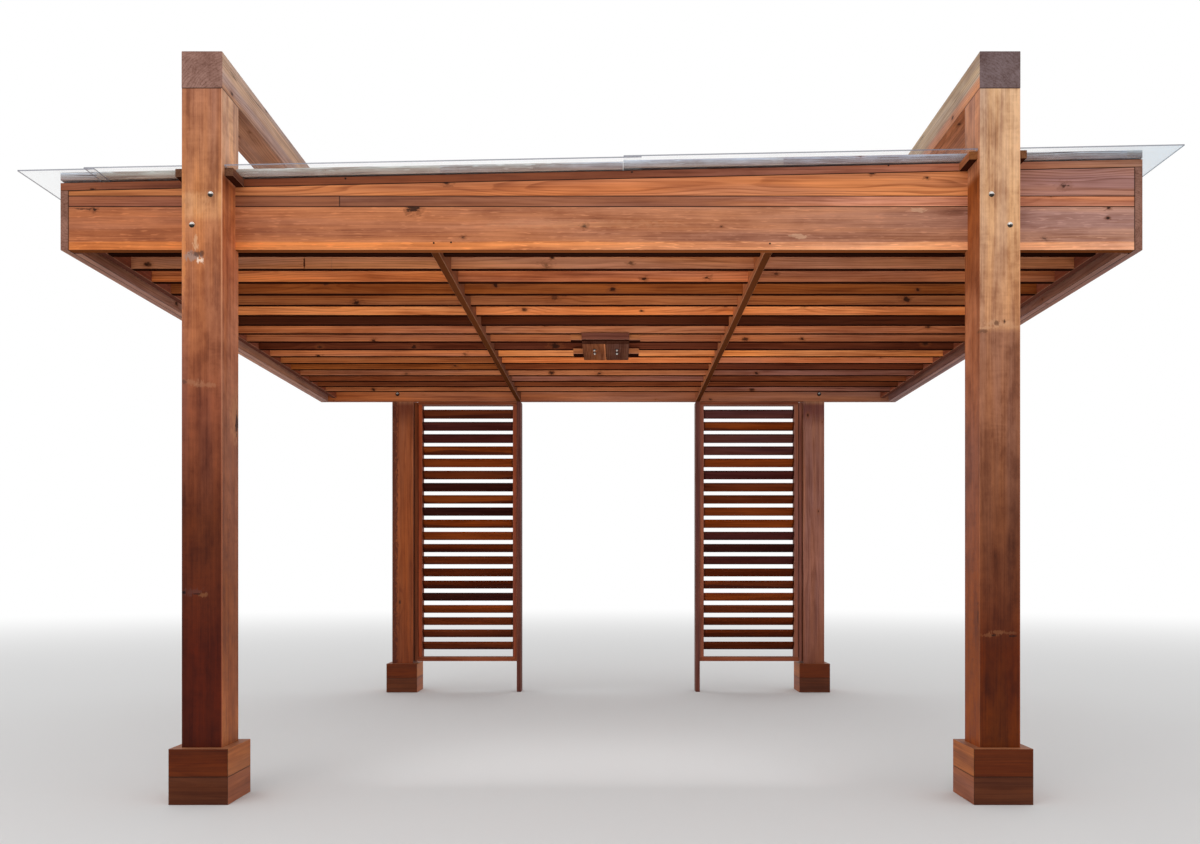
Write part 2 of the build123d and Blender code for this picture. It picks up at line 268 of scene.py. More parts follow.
def figure(wood, rings=1.0, grain=1.0, clouds=1.0, blots=0.0, curl=0.0, flecks=0.0, cracks=0.0, knots=0.3,
           knot_size=0.014, heart=None, ring=RING):
    tree = wood["tree"]
    shift = add(tree, "VectorMath", {0: wood["dice"], "Scale": 40.0}, operation="SCALE")
    wood["spread"] = add(tree, "VectorMath", {0: wood["local"], 1: shift}, operation="ADD")
    push = sow_knots(wood, knots, knot_size)
    reach = add(tree, "Math", {0: from_the_heart(wood, heart), 1: push}, operation="ADD")
    cloud = stretched(wood, "cloud")
    patchy = add(tree, "MapRange", span(cloud, 0.3, 0.7, 0.25 * rings, rings))
    lines = add(tree, "Math", {0: dark_lines(wood, reach, ring), 1: patchy}, operation="MULTIPLY")
    light = weigh(wood, stretched(wood, "fibre"), 0.5, 0.75 * grain, 0.5 + 0.10 * rings)
    light = weigh(wood, stretched(wood, "streak"), 0.5, 0.6 * grain, light)
    light = weigh(wood, lines, 0.0, -0.34, light)
    light = weigh(wood, cloud, 0.5, 0.9 * clouds, light)
    if blots:
        light = weigh(wood, stretched(wood, "blot"), 0.5, blots, light)
    if curl:
        where = add(tree, "MapRange", span(cloud, 0.42, 0.62, 0.0, curl))
        light = weigh(wood, stretched(wood, "curl"), 0.5, where, light)
    if flecks:
        fleck = add(tree, "MapRange", span(stretched(wood, "fleck"), 0.59, 0.69, 0.0, flecks))
        light = add(tree, "Math", {0: light, 1: fleck}, operation="ADD")
    split = add(tree, "Math", {0: stretched(wood, "crack"), 1: 0.5}, operation="SUBTRACT")
    split = add(tree, "Math", {0: split}, operation="ABSOLUTE")
    split = add(tree, "MapRange", span(split, 0.004, 0.014, cracks, 0.0))
    some = add(tree, "MapRange", span(cloud, 0.48, 0.6))
    wood["crack"] = add(tree, "Math", {0: split, 1: some}, operation="MULTIPLY")
    wood["light"], wood["cloud"], wood["crumbs"] = light, cloud, stretched(wood, "crumb")
    return wood


# %% [markdown]
# Some things belong to one board only: a knot that everyone sees, a scuff, a stripe. A mark is a soft spot at a
# given place, with a crumbly edge, and a knot is two of them, a brown surround and a dark heart.

# %% Marks
DEEP = 0.05  # metres into the timber that a mark on a front face reaches


def toned(wood, tone):
    """A hex colour, or what a function makes of the wood."""
    return tone(wood) if callable(tone) else stain(tone)


def mark(wood, colour, at, reach, chart, strength):
    tree = wood["tree"]
    off = add(tree, "VectorMath", {0: wood["place"], 1: at}, operation="SUBTRACT")
    off = add(tree, "VectorMath", {0: off, 1: reach}, operation="DIVIDE")
    off = add(tree, "VectorMath", {0: off}, out="Value", operation="LENGTH")
    ragged = weigh(wood, wood["crumbs"], 0.5, 3.5, off)
    held = add(tree, "MapRange", span(ragged, 0.5, 1.1, strength, 0.0), interpolation_type="SMOOTHSTEP")
    return add(tree, "Mix", {0: held, 6: colour, 7: stain(chart)}, **COVER)


def spots(y, *rows):
    """Marks on a face that looks forward, each as x, z, half its width and height, its colour and strength."""
    return [((x, y, z), (wide, DEEP, high), chart, strength) for x, z, wide, high, chart, strength in rows]


def knot_at(x, y, z, size, strength=0.9, rim="6e3a20"):
    return [((x, y, z), (2.6 * size, 0.06, 1.6 * size), rim, 0.6 * strength),
            ((x, y, z), (1.2 * size, 0.06, 0.8 * size), "22100a", strength)]


# %% [markdown]
# Where two boards meet there is a gap of a millimetre or two, full of shade; it is drawn as a dark line on both,
# 5 mm wide in all, because the real one is under half a pixel. Faces that lie in the joint itself are left
# alone. The same line in a pale tone is a corner rubbed bare.

# %% Lines
LINE_EDGE = (0.0012, 0.0036)  # metres off its middle at which a line starts to fade, and is gone
ACROSS_X, ACROSS_Z = (1.0, 0.0, 0.0), (0.0, 0.0, 1.0)


def line(wood, colour, facing, away, tone="241009", strength=0.85, wide=1.0):
    """A thin line where the face crosses the plane that looks along facing, at that distance from the origin."""
    tree = wood["tree"]
    full, gone = (edge * wide for edge in LINE_EDGE)
    off = add(tree, "VectorMath", {0: wood["place"], 1: facing}, out="Value", operation="DOT_PRODUCT")
    off = add(tree, "Math", {0: off, 1: away}, operation="SUBTRACT")
    off = add(tree, "Math", {0: off}, operation="ABSOLUTE")
    held = add(tree, "MapRange", span(off, full, gone, strength, 0.0))
    along = add(tree, "VectorMath", {0: wood["face"], 1: facing}, out="Value", operation="DOT_PRODUCT")
    along = add(tree, "Math", {0: along}, operation="ABSOLUTE")
    crossing = add(tree, "Math", {0: along, 1: 0.8}, operation="LESS_THAN")
    held = add(tree, "Math", {0: held, 1: crossing}, operation="MULTIPLY")
    return add(tree, "Mix", {0: held, 6: colour, 7: toned(wood, tone)}, **COVER)


# %% [markdown]
# The finish itself. Penetrating oil stain takes a tone, which may change over the piece, and the figure lightens
# and darkens it: the dark lines go browner, the pale wood more orange. The heartwood under it drifts slowly
# between purple-brown and orange-brown. The oil leaves a low sheen. Cut ends drink more stain and go darker and
# greyer. Eased edges lose it first and go paler. Undersides may be painted a dark tone of their own, a painted
# shade, and lose their sheen.

# %% Stained cedar
DRIFT = [(0.36, (0.90, 0.94, 1.10, 1)), (0.64, (1.07, 1.02, 0.90, 1))]
DEPTHS = [(0.0, (0.20, 0.14, 0.12, 1)), (0.35, (0.52, 0.47, 0.45, 1)), (0.5, (0.667, 0.667, 0.667, 1)),
          (0.75, (0.88, 0.94, 0.97, 1)), (1.0, (1.0, 1.0, 1.0, 1))]
DEPTH_GAIN = 1.5  # a ramp holds nothing over 1, so the depths are stored at two thirds
KNOT_STAINS = (("halo", 0.35, "8a4a26"), ("knot", 0.75, "4e2817"), ("heart", 0.8, "241009"))
RELIEF = 0.0012  # metres between the raised late wood and the worn early wood


def stained_cedar(name, along, centre, cell, tone, seed=0.0, end_tone="855c4d", under=None, gloss=0.12, marks=(),
                  joints=(), lay=lay_boards, arris=("c89a78", 0.3), **how):
    finish, tree = new_finish(name)
    wood = figure(lay(tree, along, centre, cell, seed), **how)
    depth = add(tree, "ValToRGB", {0: wood["light"]}, stops=DEPTHS)
    depth = add(tree, "VectorMath", {0: depth, "Scale": DEPTH_GAIN}, operation="SCALE")
    colour = add(tree, "Mix", {0: 1.0, 6: toned(wood, tone), 7: depth}, **GLAZE)
    hue = add(tree, "ValToRGB", {0: stretched(wood, "hue")}, stops=DRIFT)
    colour = add(tree, "Mix", {0: 1.0, 6: colour, 7: hue}, **GLAZE)
    for spot in marks:
        colour = mark(wood, colour, *spot)
    for mask, share, chart in KNOT_STAINS:
        held = add(tree, "Math", {0: wood[mask], 1: share}, operation="MULTIPLY")
        colour = add(tree, "Mix", {0: held, 6: colour, 7: stain(chart)}, **COVER)
    colour = add(tree, "Mix", {0: wood["crack"], 6: colour, 7: stain("241410")}, **COVER)
    side = add(tree, "VectorMath", {0: wood["face"]}, operation="ABSOLUTE")
    turned_to = add(tree, "SeparateXYZ", {0: side}).node.outputs
    if end_tone:
        end = add(tree, "MapRange", span(turned_to[along], 0.8, 0.9))
        cut = add(tree, "Mix", {0: 1.0, 6: toned(wood, end_tone), 7: depth}, **GLAZE)
        colour = add(tree, "Mix", {0: end, 6: colour, 7: cut}, **COVER)
    if under:
        # Faces that look down are painted dark: painted shade.
        down = add(tree, "SeparateXYZ", {0: wood["face"]}, out="Z")
        down = add(tree, "MapRange", span(down, -0.6, -0.9))
        colour = add(tree, "Mix", {0: down, 6: colour, 7: stain(under)}, **COVER)
        gloss = add(tree, "MapRange", span(down, 0.0, 1.0, gloss, 0.0))
    flat = add(tree, "Math", {0: turned_to["X"], 1: turned_to["Y"]}, operation="MAXIMUM")
    flat = add(tree, "Math", {0: flat, 1: turned_to["Z"]}, operation="MAXIMUM")
    eased = add(tree, "MapRange", span(flat, 0.9, 0.8, 0.0, arris[1]))
    colour = add(tree, "Mix", {0: eased, 6: colour, 7: stain(arris[0])}, **COVER)
    for seam in joints:
        colour = line(wood, colour, *seam)
    rough = add(tree, "MapRange", span(wood["light"], 0.2, 0.9, 0.47, 0.67))
    height = add(tree, "Math", {0: wood["crack"], 1: -1.5, 2: wood["light"]}, operation="MULTIPLY_ADD")
    raised = add(tree, "Bump", {"Strength": 0.5, "Distance": RELIEF, "Height": height}, out="Normal")
    close_finish(tree, Base_Color=colour, Roughness=rough, Normal=raised, Specular_IOR_Level=gloss)
    return finish


# %% [markdown]
# A frame piece keeps its mesh. It only gets the finish, in every slot that it has. Where a piece holds one board,
# its cell is all of space. Where two boards stand left and right of the middle, a cell is as wide as from one to
# the other.

# %% Dressing a piece
ALL = 99.0  # metres, more than the whole pergola


def alone(x, y, z):
    """Centre and cell for a single board."""
    return (x, y, z), (ALL, ALL, ALL)


def paired(x, y, z):
    """Centre and cell for a board at x with its twin at -x."""
    return (x, y, z), (2 * x, ALL, ALL)


def dress(node, finish):
    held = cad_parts[node].data.materials
    if not held:
        held.append(finish)
    for i in range(len(held)):
        held[i] = finish
    print(node, "->", finish.name)


def dress_in_cedar(node, along, boards, tone, age="stained", **how):
    dress(node, stained_cedar(age + "_cedar_" + node, along, *boards, tone, **how))


# %% [markdown]
# Most tones change along one direction, an axis of the frame or the roof's own upward one, so there is a ramp for
# that, with its stops at real places in metres. And where a builder's pile of boards was mixed, each board of a
# row has its own tone, by name, from a chart.

# %% Tones that change
def along_run(way, stops):
    """A tone that changes along an axis, by its letter, or along a direction. stops are (metres, hex)."""
    low, high = stops[0][0], stops[-1][0]

    def tone(wood):
        if isinstance(way, str):
            at = add(wood["tree"], "SeparateXYZ", {0: wood["place"]}, out=way)
        else:
            at = add(wood["tree"], "VectorMath", {0: wood["place"], 1: way}, out="Value", operation="DOT_PRODUCT")
        dots = [((place - low) / (high - low), stain(chart)) for place, chart in stops]
        return add(wood["tree"], "ValToRGB", {0: add(wood["tree"], "MapRange", span(at, low, high))}, stops=dots)
    return tone


def by_number(axis, names, chart):
    """The named tones, board by board along an axis."""
    def tone(wood):
        tree = wood["tree"]
        place = add(tree, "SeparateXYZ", {0: wood["number"]}, out=axis)
        share = add(tree, "Math", {0: place, 1: 0.5}, operation="ADD")
        share = add(tree, "Math", {0: share, 1: float(len(names))}, operation="DIVIDE")
        stops = [(i / len(names), stain(chart[name])) for i, name in enumerate(names)]
        ramp = add(tree, "ValToRGB", {0: share}, stops=stops)
        ramp.node.color_ramp.interpolation = "CONSTANT"
        return ramp
    return tone

# %% [markdown]
# ## Posts and beams
# The front posts. Sun and rain have taken the stain off the heads, and the fronts get steadily darker towards the
# feet. The fronts are painted darker than the faces that look across the opening, which are paler and redder: this
# is painted shade, strongest low down. So there are two ramps over height, one for the fronts and one for the inner
# faces, mixed by which way a face looks.

# %% Tones of the front posts
def front_and_sides(fronts, sides):
    def tone(wood):
        across = add(wood["tree"], "VectorMath", {0: wood["face"]}, operation="ABSOLUTE")
        across = add(wood["tree"], "SeparateXYZ", {0: across}, out="X")
        inner = add(wood["tree"], "MapRange", span(across, 0.6, 0.8))
        return add(wood["tree"], "Mix", {0: inner, 6: along_run("Z", fronts)(wood), 7: along_run("Z", sides)(wood)},
                   **COVER)
    return tone


left_front = [(0.0, "461304"), (0.71, "4b1505"), (1.32, "5b2811"), (1.88, "7c422d"), (2.35, "a56442"),
              (2.60, "b06c44"), (2.72, "b4724a"), (2.735, "c48457"), (2.84, "c4885a"), (2.86, "b27248"),
              (3.34, "a66a4c")]
# The dark stop at 2.93 m, just under the roof sheet, is a painted shadow.
left_sides = [(0.0, "b26a35"), (0.45, "a65e36"), (1.0, "7e4426"), (1.80, "8e5840"), (2.35, "be744e"),
              (2.55, "b46642"), (2.72, "c07248"), (2.82, "b26a42"), (2.93, "8e4c2c"), (2.96, "d69c78"),
              (3.34, "d2a486")]
right_front = [(0.0, "5c2705"), (0.71, "561f04"), (1.32, "703f27"), (1.88, "905b40"), (2.20, "946146"),
               (2.215, "b37d58"), (2.35, "bc855d"), (2.82, "cf9d72"), (3.34, "cba17e")]
# The dark stop at 2.93 m, just under the roof sheet, is a painted shadow.
right_sides = [(0.0, "9c4a1f"), (0.35, "954919"), (0.72, "7e3e1c"), (1.0, "844220"), (1.65, "8c523a"),
               (2.35, "ae663e"), (2.50, "a05830"), (2.80, "a45a2c"), (2.93, "90491a"), (2.96, "c07e54"),
               (3.34, "c48460")]
bare_edge = along_run("Z", [(0.3, "a85a3c"), (1.5, "a86448"), (2.5, "e0a078"), (3.3, "e8b494")])

# %% [markdown]
# Their scars and knots: on the left post a group below the lower bolt, a knot that turns the corner, and two old
# scars lower down; on the right post a ridge where the stain stops, and an overgrown knot near the foot. On each
# front the corner towards the opening is rubbed bare. Faces and middles of pieces are read from the frame.

# %% Front posts
def middle(node):
    """The middle of a frame piece's box."""
    near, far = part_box(node)
    return (near + far) / 2


POST_FRONT, POST_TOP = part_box("front_right_post")[0].y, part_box("front_right_post")[1].z
POST_X, POST_Y = middle("rear_right_post").xy
HEAD = (ACROSS_Z, POST_TOP)  # the joint between a post's head and its beam
print("posts", POST_X, "and", POST_Y, "m from the middle")
left_lines = [HEAD, (ACROSS_X, -1.7725, bare_edge, 0.55)]
right_lines = [HEAD, (ACROSS_X, 1.9575, bare_edge, 0.5)]
corner_knot = [((-1.77, -2.03, 1.83), (0.05, 0.07, 0.14), "b8805a", 0.5),
               ((-1.77, -2.015, 1.80), (0.05, 0.022, 0.06), "2e1814", 0.9)]
left_marks = spots(POST_FRONT, (-1.895, 2.80, 0.075, 0.06, "dca478", 0.25),
                   (-1.952, 2.60, 0.012, 0.30, "dc8c50", 0.5), (-1.909, 2.555, 0.050, 0.026, "a08478", 0.8),
                   (-1.880, 2.566, 0.042, 0.014, "4a2c20", 0.75), (-1.874, 2.534, 0.016, 0.014, "f4d4bc", 0.9),
                   (-1.895, 2.616, 0.012, 0.035, "dcae88", 0.6)) + corner_knot
left_marks += spots(POST_FRONT, (-1.915, 1.968, 0.050, 0.016, "b07a5a", 0.4),
                    (-1.850, 1.952, 0.060, 0.011, "b07a5a", 0.35), (-1.948, 1.966, 0.014, 0.012, "50302a", 0.7),
                    (-1.908, 0.985, 0.055, 0.020, "5c3a34", 0.5), (-1.862, 0.972, 0.022, 0.012, "8c5a38", 0.5),
                    (-1.890, 0.976, 0.030, 0.005, "2e100a", 0.8), (-1.952, 0.983, 0.011, 0.008, "1c0806", 0.95))
right_marks = spots(POST_FRONT, (1.856, 2.240, 0.060, 0.016, "cc9c78", 0.55),
                    (1.800, 2.220, 0.036, 0.008, "cc9c78", 0.5), (1.920, 2.226, 0.050, 0.008, "c08e68", 0.5),
                    (1.788, 2.204, 0.030, 0.009, "5a3826", 0.6), (1.851, 2.242, 0.016, 0.012, "6a4430", 0.8),
                    (1.883, 2.247, 0.010, 0.012, "43281c", 0.9), (1.816, 0.783, 0.040, 0.009, "8a5636", 0.45),
                    (1.860, 0.798, 0.042, 0.009, "8a5636", 0.45), (1.908, 0.793, 0.044, 0.008, "7c4c30", 0.45),
                    (1.835, 0.783, 0.011, 0.008, "1c0a06", 0.95), (1.925, 0.779, 0.045, 0.005, "2a1008", 0.85))
right_marks += [((1.770, -2.165, 0.88), (0.05, 0.008, 0.06), "3a1810", 0.8)]
worn = {"grain": 0.75, "clouds": 0.75, "blots": 1.1, "knots": 0.0}
dress_in_cedar("front_left_post", "Z", alone(-POST_X, -POST_Y, 0.0), front_and_sides(left_front, left_sides),
               seed=1.0, rings=0.18, curl=0.4, marks=left_marks, joints=left_lines, **worn)
dress_in_cedar("front_right_post", "Z", alone(POST_X, -POST_Y, 0.0), front_and_sides(right_front, right_sides),
               seed=2.0, rings=0.3, curl=0.45, marks=right_marks, joints=right_lines, **worn)

# %% [markdown]
# The rear posts stand in the shade of the roof and keep more of their stain. The right one has gone greyer. Just
# under the rim the fronts of both are painted darker, a painted shadow. The left one shows a broad dark stripe
# down its outer edge.

# %% Rear posts
# The dark stops from 2.53 to 2.6 m on the fronts are a painted shadow under the rim.
shaded = {"left": ([(0.0, "6a3018"), (1.2, "8a451f"), (2.40, "92502f"), (2.53, "743a22"), (2.6, "703822"),
                    (2.65, "a06846"), (3.34, "a8704e")],
                   [(0.0, "63301c"), (1.2, "7c4630"), (2.6, "8c5440"), (3.34, "a87456")]),
          "right": ([(0.0, "72402c"), (1.2, "8e5a48"), (2.40, "905e4c"), (2.53, "6c3e36"), (2.6, "683a32"),
                     (2.65, "a07052"), (3.34, "a87658")],
                    [(0.0, "6a3826"), (1.2, "84503c"), (2.6, "925a44"), (3.34, "a87456")])}
stripe = {"left": spots(1.995, (-1.946, 1.5, 0.036, 3.2, "441d16", 0.75)), "right": []}
for side, x, seed in (("left", -POST_X, 3.0), ("right", POST_X, 4.0)):
    dress_in_cedar("rear_%s_post" % side, "Z", alone(x, POST_Y, 0.0), front_and_sides(*shaded[side]), seed=seed,
                   rings=0.6, grain=0.8, blots=0.3, knots=0.3, marks=stripe[side], joints=[HEAD])

# %% [markdown]
# The plinths are two courses of boards with mitred corners. A board on a front face runs left and right and one
# on a side face runs front to back, so the grain turns where a point is farther from the post's middle in X than
# in Y. The lower course has been splashed and is duller. Dark lines show the mitres and the joint of the courses.

# %% Boards round a post
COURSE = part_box("front_plinths")[1].z / 2  # metres, the height of one of the two courses


def lay_mitred(tree, along, centre, cell, seed=0.0):
    """Boards round a square post: the grain follows whichever side of the plinth a point is on."""
    wood = lay_boards(tree, along, centre, cell, seed)
    here = add(tree, "SeparateXYZ", {0: wood["local"]}).node.outputs
    wide, deep = (add(tree, "Math", {0: here[a]}, operation="ABSOLUTE") for a in ("X", "Y"))
    back = add(tree, "Math", {0: wide, 1: deep}, operation="GREATER_THAN")
    swapped = add(tree, "CombineXYZ", {0: here["Y"], 1: here["X"], 2: here["Z"]})
    wood["local"] = add(tree, "Mix", {0: back, 4: wood["local"], 5: swapped}, out=1, data_type="VECTOR")
    across = add(tree, "SeparateXYZ", {0: wood["local"]}, out="Y")
    far = add(tree, "Math", {0: across, 1: 0.0}, operation="GREATER_THAN")
    which = add(tree, "CombineXYZ", {0: back, 1: far})
    which = add(tree, "VectorMath", {0: which, 1: (7.0, 3.0, 0.0), 2: wood["number"]}, operation="MULTIPLY_ADD")
    wood["dice"] = add(tree, "TexWhiteNoise", {"Vector": which, "W": seed}, out="Color", noise_dimensions="4D")
    wood["back"] = back
    return wood


# %% [markdown]
# Their tone depends on three things: which course a board is in, which way its face looks, and whether the face
# is the top, which is paler. The fronts are painted darker than the sides, a painted shade.

# %% Plinths
def plinth_tone(wood):
    tree = wood["tree"]
    course = add(tree, "SeparateXYZ", {0: wood["number"]}, out="Z")
    # Fronts darker than sides: painted shade.
    fronts = add(tree, "Mix", {0: course, 6: stain("552a16"), 7: stain("5a2409")}, **COVER)
    sides = add(tree, "Mix", {0: course, 6: stain("96583c"), 7: stain("a86236")}, **COVER)
    tone = add(tree, "Mix", {0: wood["back"], 6: fronts, 7: sides}, **COVER)
    up = add(tree, "SeparateXYZ", {0: wood["face"]}, out="Z")
    up = add(tree, "MapRange", span(up, 0.6, 0.9))
    return add(tree, "Mix", {0: up, 6: tone, 7: stain("9a6242")}, **COVER)


for node, y, seed in (("front_plinths", -POST_Y, 39.0), ("rear_plinths", POST_Y, 40.0)):
    courses = (POST_X, y, COURSE / 2), (2 * POST_X, ALL, COURSE)
    dress_in_cedar(node, "X", courses, plinth_tone, seed=seed, lay=lay_mitred, end_tone=None, rings=0.5, grain=0.8,
                   blots=0.35, knots=0.1, arris=("2a140c", 0.6), joints=[(ACROSS_Z, COURSE)])

# %% [markdown]
# The two heavy beams are weathered most. Long drying cracks follow the grain, and the cut ends have gone a dull
# purple-brown, with the arcs of the rings running slantwise over them. The right beam has a grey upper half.

# %% The two heavy beams
BEAM_Z = middle("left_top_beam").z
brown_top = along_run("Z", [(3.34, "b8876c"), (3.40, "c09a84"), (3.512, "b89a88")])
grey_top = along_run("Z", [(3.34, "cc8862"), (3.39, "cc8f6c"), (3.405, "bca084"), (3.512, "b8a088")])
sawn = {"age": "weathered", "cracks": 0.9, "knots": 0.4, "blots": 0.4, "grain": 0.9, "joints": [HEAD]}
dress_in_cedar("left_top_beam", "Y", alone(-POST_X, 0.0, BEAM_Z), brown_top, seed=5.0, end_tone="8a6559", rings=0.9,
               heart=(0.0, -0.15, 0.13), marks=spots(POST_FRONT, (-1.945, 3.42, 0.03, 0.03, "5a3c34", 0.7)), **sawn)
dress_in_cedar("right_top_beam", "Y", alone(POST_X, 0.0, BEAM_Z), grey_top, seed=6.0, end_tone="6d5958", rings=0.6,
               heart=(0.0, -0.16, -0.10), **sawn)

# %% [markdown]
# ## The roof edge
# The edge is a deep board, a narrow strip and a board ripped to a taper, under a cap that leans with the roof.
# The bottom of the deep board is pale sapwood, the young outer wood of the log, along a line that wavers.

# %% Tones of the front edge
SAPWOOD_TOP = 2.675


def with_sapwood(sapwood, tone):
    def made(wood):
        tree = wood["tree"]
        z = add(tree, "SeparateXYZ", {0: wood["place"]}, out="Z")
        waver = add(tree, "Math", {0: wood["cloud"], 1: 0.02, 2: z}, operation="MULTIPLY_ADD")
        held = add(tree, "MapRange", span(waver, SAPWOOD_TOP + 0.007, SAPWOOD_TOP + 0.013, 1.0, 0.0))
        return add(tree, "Mix", {0: held, 6: toned(wood, tone), 7: toned(wood, sapwood)}, **COVER)
    return made


sapwood = along_run("X", [(-2.6, "c4723e"), (-0.8, "c87844"), (0.8, "de9260"), (2.6, "eaa47a")])
heartwood = along_run("X", [(-2.6, "ab6643"), (0.0, "ab6d4c"), (1.7, "a97154"), (2.0, "b2816c"), (2.6, "ae7e6a")])
strip_tone = along_run("X", [(-2.6, "9a5c42"), (-1.95, "985a40"), (-1.7, "824d35"), (-1.268, "824d35"),
                             (-1.265, "87533b"), (0.5, "8e573f"), (1.3, "d48a66"), (2.6, "c87e5a")])
taper_tone = along_run("X", [(-2.6, "c0723c"), (0.0, "c07246"), (1.85, "ca8052"), (1.87, "a57261"), (2.6, "a57261")])

# %% [markdown]
# The joints show as thin dark lines, and the one under the cap is sloped. The strip is two lengths that butt at
# the left third, so its cell boundary lies there. The knots that one sees are set where they are.

# %% Front edge
RIM_FRONT, RIM_Y, RIM_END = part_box("front_rim_board")[0].y, middle("rear_rim_board").y, 2.577
ROOF_UP = (-0.02206, 0.0, 1.0)
END_JOINTS = [(ACROSS_X, -RIM_END), (ACROSS_X, RIM_END)]
LOW_JOINT, HIGH_JOINT = ((ACROSS_Z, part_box(node)[1].z) for node in ("front_rim_board", "front_rim_strip"))
CAP_JOINT = (ROOF_UP, 2.9788)
BUTT_X, STRIP_CELL = -1.2665, 50.0
SEAM = ("1c0c07", 0.95)  # eased edges of boards that butt, where shade collects


def knots_on_rim(*rows):
    """Knots on the front edge, each as x, z, size and at will its strength and rim."""
    return [part for x, z, *how in rows for part in knot_at(x, RIM_FRONT, z, *how)]


rim_marks = knots_on_rim((-0.907, 2.837, 0.024), (-2.45, 2.831, 0.012), (-0.084, 2.749, 0.012),
                         (-0.67, 2.697, 0.009, 0.7), (0.579, 2.747, 0.006, 0.8), (2.451, 2.838, 0.009),
                         (2.447, 2.790, 0.007), (2.144, 2.689, 0.010, 0.6, "7a5244"))
rim_marks += spots(RIM_FRONT, (-2.51, 2.834, 0.06, 0.005, "2e1a14", 0.7), (0.963, 2.702, 0.05, 0.012, "d4a888", 0.5),
                   (1.53, 2.828, 0.05, 0.010, "d4a888", 0.5), (-0.1, 2.76, 0.5, 0.02, "c08a66", 0.25))
taper_marks = knots_on_rim((-0.747, 2.962, 0.014), (1.307, 3.007, 0.011), (1.577, 2.985, 0.009),
                           (2.242, 2.947, 0.018, 0.8, "8a5a4a"))
# The deep board's underside is painted dark: painted shade.
dress_in_cedar("front_rim_board", "X", alone(0.0, -RIM_Y, 2.7395), with_sapwood(sapwood, heartwood), seed=7.0,
               knots=0.12, marks=rim_marks, rings=0.35, grain=0.9, blots=0.45, flecks=0.3, arris=SEAM,
               under="743f20", joints=[LOW_JOINT] + END_JOINTS)
strip_lengths = (BUTT_X + STRIP_CELL / 2, -RIM_Y, 2.87), (STRIP_CELL, ALL, ALL)
dress_in_cedar("front_rim_strip", "X", strip_lengths, strip_tone, seed=8.0, knots=0.1, rings=0.5, blots=0.3,
               arris=SEAM, joints=[LOW_JOINT, HIGH_JOINT, (ACROSS_X, BUTT_X)] + END_JOINTS)
dress_in_cedar("front_rim_taper", "X", alone(0.0, -RIM_Y, 2.96), taper_tone, seed=9.0, rings=1.25, knots=0.1,
               heart=(0.0, 0.045, 0.0), ring=0.010, marks=taper_marks, arris=SEAM,
               joints=[HIGH_JOINT, CAP_JOINT] + END_JOINTS)

# %% [markdown]
# The rear and side boards are of the same stuff, and duller. The caps were cut from darker boards.

# %% Rear and side edges, and the caps
SIDE_X, CAP_X, CAP_Y, CAP_Z = 2.58, 2.545, 2.0, 3.0
rear_tone = along_run("X", [(-2.6, "aa5e32"), (-0.9, "9c5936"), (0.0, "965a3c"), (0.9, "8c5236"), (2.6, "986248")])
cap_tone = along_run("X", [(-2.6, "8a4f35"), (-1.7, "70381f"), (0.0, "763f28"), (1.7, "ac6a50"), (2.6, "a06e54")])
side_tone = along_run("X", [(-2.6, "a06f5a"), (2.6, "8a5e50")])
dress_in_cedar("rear_rim_board", "X", alone(0.0, RIM_Y, 2.76), rear_tone, seed=10.0, rings=0.6, arris=SEAM,
               joints=[LOW_JOINT] + END_JOINTS)
dress_in_cedar("rear_rim_taper", "X", alone(0.0, RIM_Y, 2.96), "a8663f", seed=11.0, arris=SEAM,
               joints=[LOW_JOINT, CAP_JOINT] + END_JOINTS)
for node, seed in (("side_rim_boards", 12.0), ("side_rim_doublers", 13.0), ("left_rim_upper", 14.0),
                   ("right_rim_upper", 15.0)):
    dress_in_cedar(node, "Y", paired(SIDE_X, 0.0, 2.75), side_tone, seed=seed, blots=0.4, rings=0.7, arris=SEAM,
                   joints=END_JOINTS)
for node, y, seed in (("front_cap", -CAP_Y, 16.0), ("rear_cap", CAP_Y, 17.0)):
    dress_in_cedar(node, "X", alone(0.0, y, CAP_Z), cap_tone, seed=seed, knots=0.15, rings=0.5, blots=0.3,
                   arris=SEAM, joints=[CAP_JOINT])
dress_in_cedar("side_caps", "Y", paired(CAP_X, 0.0, CAP_Z), "8c5844", seed=18.0)

# %% [markdown]
# Short cleats stand beside the posts and carry the sheets where they are cut; their undersides are painted dark,
# a painted shade. Battens lie on the sheets and have never been stained: bare cedar goes silver-grey in the rain,
# and rough, with many small cracks. Their upper edge is palest, bleached and also painted with the highlight
# along the top, and down towards the sheet they keep some brown.

# %% Cleats and battens
SHEET_TOP = 3.0232  # metres along the roof's upward direction
CLEAT_CELL, BATTEN_CELL = 0.36, 1.66  # metres along X
cleat_tone = along_run("X", [(-2.2, "6a4230"), (0.0, "74442e"), (1.7, "a0633f"), (2.2, "7c523c")])
cleat_end = along_run("X", [(-2.2, "63412f"), (0.0, "6a442e"), (1.7, "85502a"), (2.2, "74503a")])
# The palest stops at the upper edge are partly a painted highlight.
silver = along_run(ROOF_UP, [(SHEET_TOP, "91776c"), (SHEET_TOP + 0.012, "907e78"), (SHEET_TOP + 0.026, "9a9492"),
                             (SHEET_TOP + 0.038, "babdc2")])
# The cleats' undersides are painted dark: painted shade.
for node, y, seed in (("front_post_cleats", -2.1, 19.0), ("rear_post_cleats", 2.1, 20.0)):
    dress_in_cedar(node, "Y", ((0.0, y, CAP_Z), (CLEAT_CELL, ALL, ALL)), cleat_tone, seed=seed, end_tone=cleat_end,
                   rings=0.6, under="3a1c12", gloss=0.05)
for node, y, seed in (("front_battens", -1.99, 21.0), ("rear_battens", 1.99, 22.0)):
    dress_in_cedar(node, "X", ((0.05, y, CAP_Z), (BATTEN_CELL, ALL, ALL)), silver, age="weathered", seed=seed,
                   cracks=0.8, end_tone="8d8781", knots=0.1, blots=0.7, flecks=0.4, gloss=0.06)
